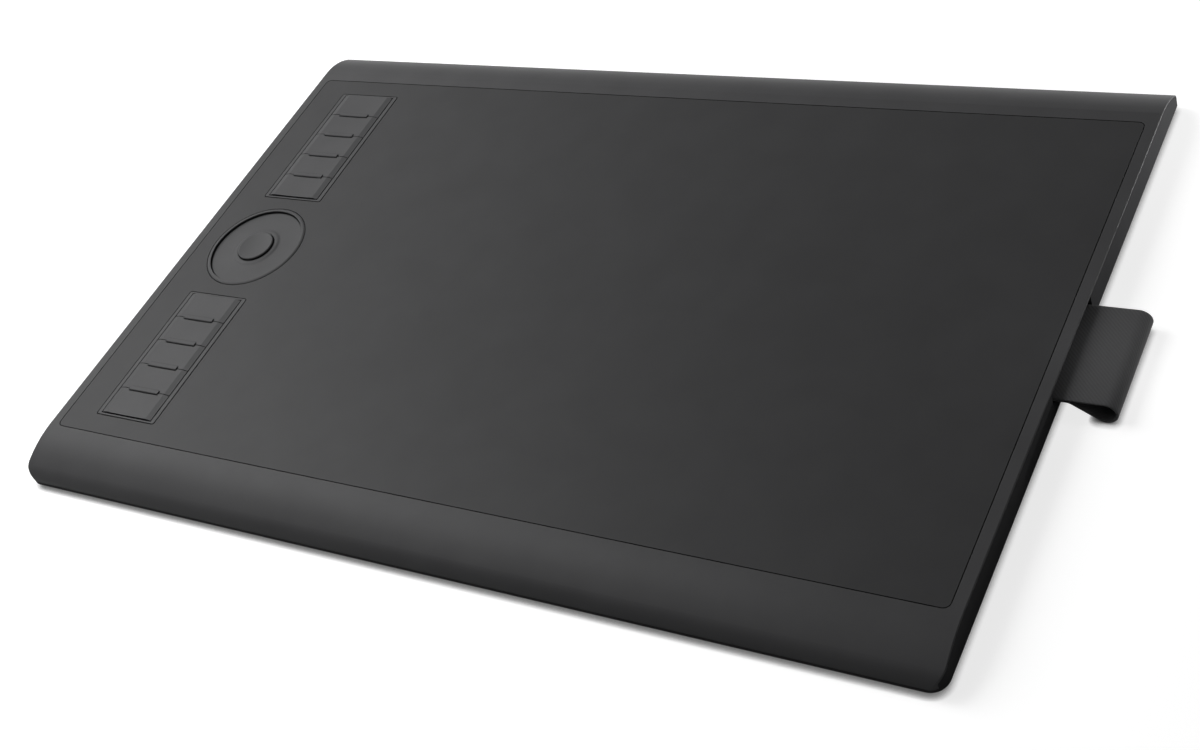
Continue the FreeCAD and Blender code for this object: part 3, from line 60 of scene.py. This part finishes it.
class Shading:
    """A new node material with one Principled shader and helpers that add nodes to it."""

    def __init__(self, name):
        self.material = bpy.data.materials.new(name)
        self.material.use_nodes = True
        self.tree = self.material.node_tree
        self.shader = self.tree.nodes["Principled BSDF"]
        self.place = self.node("ShaderNodeTexCoord").outputs["Object"]

    def link(self, source, target):
        """Connect an output to an input."""
        self.tree.links.new(source, target)

    def node(self, kind, **settings):
        """A new node with its settings."""
        made = self.tree.nodes.new(kind)
        for name, value in settings.items():
            setattr(made, name, value)
        return made

    def stretched(self, x, y, z):
        """The object's coordinates, each axis times a factor."""
        made = self.node("ShaderNodeMapping")
        made.inputs["Scale"].default_value = (x, y, z)
        self.link(self.place, made.inputs["Vector"])
        return made.outputs["Vector"]

    def texture(self, kind, scale, place=None, **settings):
        """A texture node; its scale is in features per metre."""
        made = self.node(kind, **settings)
        made.inputs["Scale"].default_value = scale
        self.link(place or self.place, made.inputs["Vector"])
        return made

    def noise(self, scale, detail=3.0, place=None):
        """A noise pattern between 0 and 1."""
        made = self.texture("ShaderNodeTexNoise", scale, place)
        made.inputs["Detail"].default_value = detail
        return made.outputs["Fac"]

    def wave(self, place, pitch, shift=None):
        """A sine between -1 and 1 along a length in metres, shifted by an angle."""
        angle = self.math("MULTIPLY", place, math.tau / pitch)
        if shift is not None:
            angle = self.math("ADD", angle, shift)
        return self.math("SINE", angle, 0.0)

    def spread(self, value, low, high, start=0.0, end=1.0):
        """Map a pattern that runs from start to end onto a range from low to high."""
        made = self.node("ShaderNodeMapRange")
        made.inputs["From Min"].default_value = start
        made.inputs["From Max"].default_value = end
        made.inputs["To Min"].default_value = low
        made.inputs["To Max"].default_value = high
        self.link(value, made.inputs["Value"])
        return made.outputs["Result"]

    def ramp(self, value, first, second, start=0.0, end=1.0):
        """Blend two colours along a pattern."""
        made = self.node("ShaderNodeValToRGB")
        made.color_ramp.elements[0].position = start
        made.color_ramp.elements[1].position = end
        made.color_ramp.elements[0].color = (*first, 1.0)
        made.color_ramp.elements[1].color = (*second, 1.0)
        self.link(value, made.inputs["Fac"])
        return made.outputs["Color"]

    def mix(self, share, first, second):
        """A number between two others: the first at share 0, the second at share 1."""
        made = self.node("ShaderNodeMix", data_type="FLOAT")
        self.link(share, made.inputs["Factor"])
        self.link(first, made.inputs["A"])
        self.link(second, made.inputs["B"])
        return made.outputs["Result"]

    def math(self, operation, first, second):
        """One step of arithmetic on outputs or plain numbers."""
        made = self.node("ShaderNodeMath", operation=operation)
        for value, socket in ((first, made.inputs[0]), (second, made.inputs[1])):
            if isinstance(value, (int, float)):
                socket.default_value = value
            else:
                self.link(value, socket)
        return made.outputs[0]

    def weighed(self, first, first_share, second, second_share):
        """The sum of two patterns, each times its share."""
        first = self.math("MULTIPLY", first, first_share)
        second = self.math("MULTIPLY", second, second_share)
        return self.math("ADD", first, second)

    def bump(self, height, distance, under=None):
        """A bump whose height pattern of 0 to 1 stands for a distance in metres."""
        made = self.node("ShaderNodeBump")
        made.inputs["Distance"].default_value = distance
        self.link(height, made.inputs["Height"])
        if under is not None:
            self.link(under, made.inputs["Normal"])
        return made.outputs["Normal"]

    def open_air(self, reach, fall, towards=None):
        """1 on open faces, falling towards 0 near others, seen along a direction where one is given."""
        near = self.node("ShaderNodeAmbientOcclusion", samples=PROBE_SAMPLES)
        near.inputs["Distance"].default_value = reach
        if towards is not None:
            way = self.node("ShaderNodeCombineXYZ")
            for socket, value in zip(way.inputs, Vector(towards).normalized()):
                socket.default_value = value
            self.link(way.outputs["Vector"], near.inputs["Normal"])
        return self.math("POWER", near.outputs["AO"], fall)

    def shaded(self, colour, level):
        """A colour times a level of 0 to 1."""
        made = self.node("ShaderNodeVectorMath", operation="SCALE")
        self.link(colour, made.inputs[0])
        self.link(level, made.inputs["Scale"])
        return made.outputs["Vector"]

    def soft_edges(self, radius):
        """Normals that round every sharp edge by a radius."""
        made = self.node("ShaderNodeBevel", samples=PROBE_SAMPLES)
        made.inputs["Radius"].default_value = radius
        return made.outputs["Normal"]

    def set(self, **values):
        """Constant values for the shader's sockets, with spaces for underscores in their names."""
        for name, value in values.items():
            self.shader.inputs[name.replace("_", " ")].default_value = value

    def feed(self, **sources):
        """Outputs for the shader's sockets, with spaces for underscores in their names."""
        for name, source in sources.items():
            self.link(source, self.shader.inputs[name.replace("_", " ")])

    def cover(self, pattern, dark, light, roughness, depth, under=None, rough_pattern=None):
        """Colour, roughness and bump from one pattern; the roughness may follow another."""
        self.feed(
            Base_Color=self.ramp(pattern, dark, light),
            Roughness=self.spread(rough_pattern or pattern, *roughness),
            Normal=self.bump(pattern, depth, under),
        )


COOL_TINT = 1.03


def grey(level):
    """A nearly neutral grey, very slightly cool."""
    return (level, level, level * COOL_TINT)


# Painted shade: the colour darkens in gaps between mouldings, such as seams and key gaps, over this
# reach
CREVICE_SHADE_REACH = 0.8 * MM
CREVICE_SHADE_FALL = 2.4

MOTTLE_SCALE = 60.0
MOTTLE_DARK = 0.94
MOTTLE_LIGHT = 1.06
MOTTLE_START = 0.3
MOTTLE_END = 0.7
GRAIN_DETAIL = 2.0
ROUGHNESS_SWING = 0.05


def moulded_plastic(name, level, roughness, grain, depth, edge, specular=0.08):
    """Moulded plastic: fine grain in bump and roughness, faint mottling, painted shade in crevices and
    softened edges.
    """
    made = Shading(name)
    mottle = made.noise(MOTTLE_SCALE)
    grains = made.noise(grain, detail=GRAIN_DETAIL)
    dark = grey(level * MOTTLE_DARK)
    light = grey(level * MOTTLE_LIGHT)
    colour = made.ramp(mottle, dark, light, start=MOTTLE_START, end=MOTTLE_END)
    made.feed(
        # Painted shade: the base colour darkens where other faces stand near, as in seams and key gaps
        Base_Color=made.shaded(colour, made.open_air(CREVICE_SHADE_REACH, CREVICE_SHADE_FALL)),
        Roughness=made.spread(grains, roughness - ROUGHNESS_SWING, roughness + ROUGHNESS_SWING),
        Normal=made.bump(grains, depth, under=made.soft_edges(edge)),
    )
    made.set(Specular_IOR_Level=specular)
    return made.material


TRACK_SCALE = 220.0
TRACK_WIDTH = 0.08
MASK_HAZE_SCALE = 900.0


def bare_board(name):
    """Green solder mask over faint copper tracks."""
    made = Shading(name)
    cells = made.texture("ShaderNodeTexVoronoi", TRACK_SCALE, feature="DISTANCE_TO_EDGE")
    copper = made.spread(cells.outputs["Distance"], low=1.0, high=0.0, end=TRACK_WIDTH)
    made.cover(
        copper, dark=(0.012, 0.09, 0.04), light=(0.03, 0.17, 0.08),
        roughness=(0.25, 0.35), depth=0.03 * MM, rough_pattern=made.noise(MASK_HAZE_SCALE),
    )
    return made.material


STEEL_LINE_SCALE = 400.0
STEEL_LINE_STRETCH = (0.05, 8.0, 8.0)


def rolled_steel(name):
    """Bright steel with fine lines along X."""
    made = Shading(name)
    lines = made.noise(STEEL_LINE_SCALE, detail=4.0, place=made.stretched(*STEEL_LINE_STRETCH))
    made.cover(
        lines, dark=(0.42, 0.42, 0.43), light=(0.58, 0.58, 0.59),
        roughness=(0.22, 0.38), depth=0.01 * MM,
    )
    made.set(Metallic=1.0)
    return made.material


COPPER_LINE_SCALE = 300.0
FILM_HAZE_SCALE = 700.0


def amber_film(name):
    """Flat cable: amber film over parallel copper lines."""
    made = Shading(name)
    lines = made.texture("ShaderNodeTexWave", COPPER_LINE_SCALE, bands_direction="Y")
    made.cover(
        lines.outputs["Fac"], dark=(0.35, 0.13, 0.02), light=(0.62, 0.3, 0.06),
        roughness=(0.2, 0.32), depth=0.02 * MM, rough_pattern=made.noise(FILM_HAZE_SCALE),
    )
    return made.material


GLUE_CLOUD_SCALE = 250.0


def glue_film(name):
    """Pale, cloudy adhesive film."""
    made = Shading(name)
    made.cover(
        made.noise(GLUE_CLOUD_SCALE), dark=(0.5, 0.5, 0.47), light=(0.66, 0.66, 0.63),
        roughness=(0.35, 0.5), depth=0.02 * MM,
    )
    return made.material


RUBBER_GRAIN_SCALE = 1800.0
RUBBER_EDGE = 0.3 * MM


def foot_rubber(name):
    """Dull, grainy black rubber with softened edges."""
    made = Shading(name)
    made.cover(
        made.noise(RUBBER_GRAIN_SCALE, detail=4.0), dark=grey(0.016), light=grey(0.03),
        roughness=(0.72, 0.88), depth=0.06 * MM, under=made.soft_edges(RUBBER_EDGE),
    )
    made.set(Specular_IOR_Level=0.3)
    return made.material


WEAVE = "weave"
TWILL_PITCH = 1.3 * MM
TWILL_SLANT = 1.0
TWILL_DARK = 0.86
TWILL_LIGHT = 1.14
TWILL_START = 0.15
TWILL_END = 0.85
YARN_PITCH = 0.42 * MM
FUZZ_SCALE = 900.0
WANDER_SCALE = 120.0
RIB_WANDER = 0.35
RIB_SHARE = 0.7
YARN_SHARE = 0.3
WEAVE_SHARE = 0.7
FUZZ_SHARE = 0.3
WEAVE_DEPTH = 0.05 * MM
FUZZ_DEPTH = 0.03 * MM


def twill(name, level):
    """Twill webbing: diagonal ribs of fine yarns, read from the strap's own lengthwise map."""
    made = Shading(name)
    flat_place = made.node("ShaderNodeUVMap", uv_map=WEAVE).outputs["UV"]
    parts = made.node("ShaderNodeSeparateXYZ")
    made.link(flat_place, parts.inputs["Vector"])
    along, across = parts.outputs["X"], parts.outputs["Y"]
    fuzz = made.noise(FUZZ_SCALE)
    wander = made.spread(made.noise(WANDER_SCALE), -RIB_WANDER, RIB_WANDER)
    diagonal = made.math("ADD", along, made.math("MULTIPLY", across, TWILL_SLANT))
    rib = made.spread(made.wave(diagonal, TWILL_PITCH, wander), 0.0, 1.0, start=-1.0)
    yarns = made.math("MULTIPLY", made.wave(across, YARN_PITCH), made.wave(along, YARN_PITCH))
    yarn = made.spread(yarns, 0.0, 1.0, start=-1.0)
    height = made.weighed(rib, RIB_SHARE, yarn, YARN_SHARE)
    shade = made.weighed(height, WEAVE_SHARE, fuzz, FUZZ_SHARE)
    dark = grey(level * TWILL_DARK)
    light = grey(level * TWILL_LIGHT)
    made.feed(
        Base_Color=made.ramp(shade, dark, light, start=TWILL_START, end=TWILL_END),
        Roughness=made.spread(fuzz, low=0.75, high=0.92),
        Normal=made.bump(height, WEAVE_DEPTH, under=made.bump(fuzz, FUZZ_DEPTH)),
    )
    made.set(Sheen_Weight=0.25, Sheen_Roughness=0.45, Specular_IOR_Level=0.2)
    return made.material


# The looks of the record's material slots, and the CAD nodes that wear them

CASE_LEVEL = 0.042
COVER_LEVEL = 0.06
SURFACE_LEVEL = 0.04
KEY_LEVEL = 0.065
SWITCH_LEVEL = 0.03
STRAP_LEVEL = 0.065

SLOT_LOOKS = {
    "cover_plastic": moulded_plastic(
        "cover_plastic", COVER_LEVEL,
        roughness=0.42, grain=3500.0, depth=0.012 * MM, edge=0.15 * MM,
    ),
    "case_plastic": moulded_plastic(
        "case_plastic", CASE_LEVEL,
        roughness=0.55, grain=3000.0, depth=0.02 * MM, edge=0.2 * MM, specular=0.01,
    ),
    "surface_sheet": moulded_plastic(
        "surface_sheet", SURFACE_LEVEL,
        roughness=0.42, grain=5000.0, depth=0.01 * MM, edge=0.1 * MM,
    ),
    "key_plastic": moulded_plastic(
        "key_plastic", KEY_LEVEL,
        roughness=0.42, grain=4000.0, depth=0.01 * MM, edge=0.15 * MM,
    ),
    "switch_plastic": moulded_plastic(
        "switch_plastic", SWITCH_LEVEL,
        roughness=0.4, grain=2500.0, depth=0.01 * MM, edge=0.1 * MM,
    ),
    "loop_fabric": twill("strap_fabric", STRAP_LEVEL),
    "adhesive": glue_film("glue_film"),
    "circuit_board": bare_board("solder_mask"),
    "steel": rolled_steel("rolled_steel"),
    "flat_cable": amber_film("amber_film"),
    "foot_rubber": foot_rubber("foot_rubber"),
}


def dress(name, material):
    """Give a CAD node one material in all its slots."""
    slots = nodes[name].data.materials
    if not slots:
        slots.append(material)
    for index in range(len(slots)):
        slots[index] = material


for part in frame["record"]["subparts"]:
    dress(part["node"], SLOT_LOOKS[part["material_slot"]])


# Pieces

# How far a quarter of a circle bends from its chord, as a share of its radius
QUARTER_SAG = 0.29
TURNED_STEPS = 144
TURNED_SHARP_ANGLE = 40.0


def add_object(name, data):
    """A new object in the scene."""
    made = bpy.data.objects.new(name, data)
    bpy.context.scene.collection.objects.link(made)
    return made


def add_piece(name, mesh, body, slot, replaced):
    """A piece in its slot's material that rides on a body and stands for CAD nodes."""
    piece = add_object(name, mesh)
    piece.data.materials.append(SLOT_LOOKS[slot])
    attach(piece, body)
    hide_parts(*replaced)
    return piece


def mesh_of(made, name):
    """The mesh that a finished bmesh stands for."""
    mesh = bpy.data.meshes.new(name)
    made.to_mesh(mesh)
    made.free()
    return mesh


def smooth(mesh, sharp_angle):
    """Smooth shading, apart from edges that turn more than an angle in degrees."""
    mesh.polygons.foreach_set("use_smooth", [True] * len(mesh.polygons))
    mesh.set_sharp_from_angle(angle=math.radians(sharp_angle))


def arc(start, end, sag, steps):
    """Points after start, up to end, on an arc that bends to the right of its chord by a sag."""
    x0, y0 = start
    x1, y1 = end
    length = math.hypot(x1 - x0, y1 - y0)
    side = ((y1 - y0) / length, -(x1 - x0) / length)
    radius = (length ** 2 / 4 + sag ** 2) / (2 * sag)
    half = math.asin(length / 2 / radius)
    centre_x = (x0 + x1) / 2 + side[0] * (sag - radius)
    centre_y = (y0 + y1) / 2 + side[1] * (sag - radius)
    points = []
    for step in range(1, steps + 1):
        angle = half * (2 * step / steps - 1)
        out = radius * math.cos(angle)
        along = radius * math.sin(angle)
        points.append((
            centre_x + side[0] * out + (x1 - x0) / length * along,
            centre_y + side[1] * out + (y1 - y0) / length * along,
        ))
    return points


def quarter_round(start, end, radius, steps):
    """Points after start, up to end, on a quarter of a circle."""
    return arc(start, end, radius * QUARTER_SAG, steps)


def turned(name, profile, centre):
    """A solid of revolution about a vertical line. The profile holds (radius, height) points."""
    made = bmesh.new()
    rings = []
    for radius, height in profile:
        if radius == 0.0:
            rings.append([made.verts.new((centre[0], centre[1], height))])
            continue
        rings.append([
            made.verts.new((
                centre[0] + radius * math.cos(math.tau * step / TURNED_STEPS),
                centre[1] + radius * math.sin(math.tau * step / TURNED_STEPS),
                height,
            ))
            for step in range(TURNED_STEPS)
        ])
    closed = len(rings[0]) > 1
    pairs = list(zip(rings, rings[1:])) + ([(rings[-1], rings[0])] if closed else [])
    for first, second in pairs:
        for step in range(TURNED_STEPS):
            after = (step + 1) % TURNED_STEPS
            corners = [first[step % len(first)], second[step % len(second)]]
            if len(second) > 1:
                corners.append(second[after])
            if len(first) > 1:
                corners.append(first[after])
            made.faces.new(corners)
    bmesh.ops.recalc_face_normals(made, faces=made.faces)
    mesh = mesh_of(made, name)
    smooth(mesh, TURNED_SHARP_ANGLE)
    return mesh


RING_EDGE_DROP = 0.3 * MM
RING_DISH = 0.12 * MM
RING_DISH_STEPS = 24
RING_BORE = 7.73 * MM
RING_EDGE_ROUND = 0.12 * MM
RING_EDGE_STEPS = 4
COLLAR_OUTER = 10.5 * MM
COLLAR_TOP = 8.6 * MM
COLLAR_STEP = 0.4 * MM
COLLAR_SAG = 0.05 * MM
COLLAR_STEPS = 4


def make_touch_ring():
    """The dished ring with its raised collar, turned with round edges."""
    low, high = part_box("touch_ring")
    outer = (high[0] - low[0]) / 2
    centre = ((low[0] + high[0]) / 2, (low[1] + high[1]) / 2)
    top = high[2]
    edge = top - RING_EDGE_DROP
    foot = top - COLLAR_STEP
    outer_start = (outer, edge - RING_EDGE_ROUND)
    outer_end = (outer - RING_EDGE_ROUND, edge)
    collar_foot = (COLLAR_OUTER, foot)
    collar_middle = ((COLLAR_TOP + COLLAR_OUTER) / 2, (top + foot) / 2)
    inner_start = (RING_BORE + RING_EDGE_ROUND, top)
    inner_end = (RING_BORE, top - RING_EDGE_ROUND)
    profile = [(RING_BORE, low[2]), (outer, low[2]), outer_start]
    profile += quarter_round(outer_start, outer_end, RING_EDGE_ROUND, RING_EDGE_STEPS)
    profile += arc(outer_end, collar_foot, -RING_DISH, RING_DISH_STEPS)
    profile += arc(profile[-1], collar_middle, -COLLAR_SAG, COLLAR_STEPS)
    profile += arc(collar_middle, (COLLAR_TOP, top), COLLAR_SAG, COLLAR_STEPS)
    profile.append(inner_start)
    profile += quarter_round(inner_start, inner_end, RING_EDGE_ROUND, RING_EDGE_STEPS)
    mesh = turned("touch_ring_dish", profile, centre)
    add_piece("touch_ring_dish", mesh, "case", "key_plastic", ["touch_ring"])


BUTTON_RADIUS = 7.48 * MM
BUTTON_DISH = 0.6 * MM
BUTTON_DISH_STEPS = 20
BUTTON_ROUND = 0.45 * MM
BUTTON_ROUND_STEPS = 8
BUTTON_FLANGE_DROP = 3.6 * MM
BUTTON_FLANGE = 0.8 * MM
BUTTON_NUB_RADIUS = 1.4 * MM


def make_centre_button():
    """The dished button, with its retaining flange under the ring."""
    low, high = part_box("centre_button")
    flange = (high[0] - low[0]) / 2
    centre = ((low[0] + high[0]) / 2, (low[1] + high[1]) / 2)
    top = high[2]
    flange_top = top - BUTTON_FLANGE_DROP
    flange_bottom = flange_top - BUTTON_FLANGE
    crest = (BUTTON_RADIUS - BUTTON_ROUND, top)
    shoulder = (BUTTON_RADIUS, top - BUTTON_ROUND)
    profile = [
        (0.0, low[2]),
        (BUTTON_NUB_RADIUS, low[2]),
        (BUTTON_NUB_RADIUS, flange_bottom),
        (flange, flange_bottom),
        (flange, flange_top),
        (BUTTON_RADIUS, flange_top),
        shoulder,
    ]
    profile += quarter_round(shoulder, crest, BUTTON_ROUND, BUTTON_ROUND_STEPS)
    across = arc(crest, (-crest[0], top), -BUTTON_DISH, 2 * BUTTON_DISH_STEPS)
    hollow = across[:BUTTON_DISH_STEPS]
    profile += hollow[:-1]
    profile.append((0.0, hollow[-1][1]))
    mesh = turned("centre_button_cap", profile, centre)
    add_piece("centre_button_cap", mesh, "centre_button", "key_plastic", ["centre_button"])


STRAP_THICKNESS = 0.6 * MM
STRAP_LAYER_GAP = 0.2 * MM
STRAP_BEND_START = 3.0 * MM
STRAP_BEND_RADIUS = 3.0 * MM
STRAP_STEP = 0.6 * MM
STRAP_BEND_FINENESS = 2
STRAP_EDGE = 0.22 * MM
STRAP_EDGE_STEPS = 6
STRAP_COLUMNS = 48
STRAP_SHARP_ANGLE = 60.0


def strap_line(low, high):
    """Points (x, z) along the middle of the folded strap, from its upper tail to its lower one."""
    half = STRAP_THICKNESS / 2
    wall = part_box("top_cover")[1][0]
    loop = (high[2] - low[2]) / 2
    tip = (high[0] - loop, high[2] - loop)
    turn = loop - half
    root = high[2] - STRAP_THICKNESS * 2 - STRAP_LAYER_GAP
    bend = (wall + STRAP_BEND_START, root - STRAP_BEND_RADIUS)
    bend_turn = STRAP_BEND_RADIUS + half
    run, rise = tip[0] - bend[0], tip[1] - bend[1]
    slope = math.atan2(rise, run) - math.asin((turn + bend_turn) / math.hypot(run, rise))
    quarter = math.pi / 2

    def round_point(centre, radius, angle):
        """The point of a circle at an angle."""
        return centre[0] + radius * math.cos(angle), centre[1] + radius * math.sin(angle)

    def straight(start, end):
        """Points from start, up to but without end, on a line."""
        steps = max(1, round(math.dist(start, end) / STRAP_STEP))
        for step in range(steps):
            yield tuple(a + (b - a) * step / steps for a, b in zip(start, end))

    def curved(centre, radius, start, end):
        """Points from one angle, up to but without the other, on a circle."""
        run_length = abs(end - start) * radius
        steps = max(2, round(run_length / STRAP_STEP * STRAP_BEND_FINENESS))
        for step in range(steps):
            yield round_point(centre, radius, start + (end - start) * step / steps)

    upper_tail, lower_tail = (low[0], high[2] - half), (low[0], root + half)
    lower_start = round_point(tip, turn, slope - quarter)
    lower_end = round_point(bend, bend_turn, slope + quarter)
    points = list(straight(upper_tail, (tip[0], upper_tail[1])))
    points += curved(tip, turn, quarter, slope - quarter)
    points += straight(lower_start, lower_end)
    points += curved(bend, bend_turn, slope + quarter, quarter)
    points += straight(round_point(bend, bend_turn, quarter), lower_tail)
    points.append(lower_tail)
    return points


def strap_section(width):
    """The strap's cross-section as (across, out) points: two flat faces and two round edges."""
    half = STRAP_THICKNESS / 2
    reach = width / 2 - STRAP_EDGE
    face = [reach * (2 * step / STRAP_COLUMNS - 1) for step in range(STRAP_COLUMNS + 1)]
    turns = [math.pi * step / STRAP_EDGE_STEPS for step in range(1, STRAP_EDGE_STEPS)]
    section = [(across, half) for across in face]
    section += [(reach + STRAP_EDGE * math.sin(turn), half * math.cos(turn)) for turn in turns]
    return section + [(-across, -out) for across, out in section]


def make_strap():
    """The woven strap: a ribbon swept along its folded line, with its weave mapped lengthwise."""
    low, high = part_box("pen_loop")
    line = strap_line(low, high)
    width = high[1] - low[1]
    middle = (low[1] + high[1]) / 2
    section = strap_section(width)
    made = bmesh.new()
    weave = made.loops.layers.uv.new(WEAVE)
    rows = []
    travelled = []
    for index, (x, z) in enumerate(line):
        before = line[max(index - 1, 0)]
        after = line[min(index + 1, len(line) - 1)]
        length = math.dist(before, after)
        out_x, out_z = -(after[1] - before[1]) / length, (after[0] - before[0]) / length
        travelled.append(travelled[-1] + math.dist(line[index - 1], (x, z)) if index else 0.0)
        rows.append([
            made.verts.new((x + out_x * out, middle + across, z + out_z * out))
            for across, out in section
        ])
    for row in range(len(rows) - 1):
        for column in range(len(section)):
            after = (column + 1) % len(section)
            places = ((row, column), (row, after), (row + 1, after), (row + 1, column))
            face = made.faces.new([rows[index][place] for index, place in places])
            for corner, (index, place) in zip(face.loops, places):
                corner[weave].uv = (travelled[index], section[place][0])
    made.faces.new(rows[0])
    made.faces.new(reversed(rows[-1]))
    bmesh.ops.recalc_face_normals(made, faces=made.faces)
    mesh = mesh_of(made, "woven_strap")
    smooth(mesh, STRAP_SHARP_ANGLE)
    strap = add_piece("woven_strap", mesh, "case", "loop_fabric", ["pen_loop"])


make_touch_ring()
make_centre_button()
make_strap()


# Floor, light and camera

FLOOR_SIZE = 8.0
FLOOR_CELLS = 8
FLOOR_COLOUR = (0.55, 0.55, 0.55)
FLOOR_MOTTLE = 0.98
FLOOR_MOTTLE_SCALE = 8.0
FLOOR_GRAIN_SCALE = 300.0
FLOOR_LIFT = 0.78

# Painted contact shadow: the floor's lift to white darkens near the case, looking towards the back
# right, so the shadow lies in front of and left of the case
CONTACT_SHADOW_REACH = 2.6 * MM
CONTACT_SHADOW_FALL = 3.5
CONTACT_SHADOW_TOWARDS = (0.5, 0.5, 0.7)

# Painted shade: the floor that glossy faces mirror is darker near the object
MIRRORED_SHADE_REACH = 40.0 * MM
MIRRORED_SHADE_FALL = 8.0

WORLD_LEVEL = 0.05
WHITE = (1.0, 1.0, 1.0, 1.0)


def seen_ray(tree):
    """1 for rays from the camera, off glossy surfaces or through clear ones."""
    path = tree.nodes.new("ShaderNodeLightPath")
    seen = path.outputs["Is Camera Ray"]
    for ray in ("Is Glossy Ray", "Is Transmission Ray"):
        either = tree.nodes.new("ShaderNodeMath")
        either.operation = "MAXIMUM"
        tree.links.new(seen, either.inputs[0])
        tree.links.new(path.outputs[ray], either.inputs[1])
        seen = either.outputs[0]
    return seen


def make_floor():
    """A pale floor that the camera sees lifted to white, with the object's shadow from the lamps on it
    and a painted shadow where the lift darkens near the object.
    """
    made = bmesh.new()
    bmesh.ops.create_grid(
        made, x_segments=FLOOR_CELLS, y_segments=FLOOR_CELLS, size=FLOOR_SIZE / 2
    )
    mesh = mesh_of(made, "floor")
    floor = add_object("floor", mesh)
    paper = Shading("floor_paper")
    # Painted shadow: the lift to white darkens near the object, as a contact shadow for camera rays
    contact_shadow = paper.open_air(CONTACT_SHADOW_REACH, CONTACT_SHADOW_FALL, CONTACT_SHADOW_TOWARDS)
    # Painted shade: for glossy rays the lift darkens over a longer reach near the object
    mirrored_shade = paper.open_air(MIRRORED_SHADE_REACH, MIRRORED_SHADE_FALL)
    mirrored = paper.node("ShaderNodeLightPath").outputs["Is Glossy Ray"]
    painted_floor_shade = paper.mix(mirrored, contact_shadow, mirrored_shade)
    lift = paper.math("MULTIPLY", seen_ray(paper.tree), FLOOR_LIFT)
    darker = tuple(value * FLOOR_MOTTLE for value in FLOOR_COLOUR)
    paper.feed(
        Base_Color=paper.ramp(paper.noise(FLOOR_MOTTLE_SCALE), darker, FLOOR_COLOUR),
        Roughness=paper.spread(paper.noise(FLOOR_GRAIN_SCALE), low=0.85, high=0.95),
        Emission_Strength=paper.math("MULTIPLY", lift, painted_floor_shade),
    )
    paper.set(Emission_Color=WHITE, Specular_IOR_Level=0.0)
    mesh.materials.append(paper.material)


def make_world():
    """A soft surrounding light that the camera and glossy surfaces see as white."""
    world = bpy.data.worlds.new("studio")
    bpy.context.scene.world = world
    world.use_nodes = True
    tree = world.node_tree
    background = tree.nodes["Background"]
    level = tree.nodes.new("ShaderNodeMapRange")
    level.inputs["To Min"].default_value = WORLD_LEVEL
    level.inputs["To Max"].default_value = 1.0
    tree.links.new(seen_ray(tree), level.inputs["Value"])
    tree.links.new(level.outputs["Result"], background.inputs["Strength"])
    background.inputs["Color"].default_value = WHITE


def make_lamp(name, place, target, size, watts, spread=180.0):
    """A rectangular lamp, aimed at a point and hidden from the camera."""
    lamp = add_object(name, bpy.data.lights.new(name, "AREA"))
    lamp.data.spread = math.radians(spread)
    lamp.visible_camera = False
    lamp.data.shape = "RECTANGLE"
    lamp.data.size, lamp.data.size_y = size
    lamp.data.energy = watts
    lamp.location = place
    lamp.rotation_euler = (Vector(target) - Vector(place)).to_track_quat("-Z", "Y").to_euler()


# The camera, solved from the drawing sheet's four corners in the photograph
CAMERA_PLACE = (0.32402, -0.33854, 0.40374)
CAMERA_TURN = (44.3434, 18.4860, 26.9892)
CAMERA_LENS = 52.47
CAMERA_SENSOR = 36.0
CAMERA_NEAR = 0.01


def make_camera():
    """The photograph's camera."""
    data = bpy.data.cameras.new("camera")
    data.lens = CAMERA_LENS
    data.sensor_width = CAMERA_SENSOR
    data.sensor_fit = "HORIZONTAL"
    data.clip_start = CAMERA_NEAR
    camera = add_object("camera", data)
    camera.location = CAMERA_PLACE
    camera.rotation_euler = Euler([math.radians(angle) for angle in CAMERA_TURN], "XYZ")
    bpy.context.scene.camera = camera


make_floor()
make_world()
make_lamp(
    "soft_box", place=(-1.1, 0.5, 1.0), target=(-0.05, 0.0, 0.0),
    size=(1.0, 1.2), watts=6.6,
)
make_lamp(
    "left_light", place=(-0.45, 0.05, 0.5), target=(-0.1, 0.0, 0.0),
    size=(0.3, 0.5), watts=2.3,
)
make_lamp(
    "top_light", place=(-0.25, -0.1, 0.5), target=(-0.05, -0.05, 0.0),
    size=(0.3, 0.3), watts=0.5,
)
make_lamp(
    "wall_light", place=(0.30, 0.23, 0.012), target=(0.171, 0.10, 0.006),
    size=(0.08, 0.014), watts=0.042, spread=44.0,
)
make_lamp(
    "loop_light", place=(0.215, 0.001, 0.055), target=(0.176, 0.001, 0.007),
    size=(0.02, 0.04), watts=0.0009, spread=60.0,
)
make_camera()
bpy.context.scene.view_settings.view_transform = "Standard"
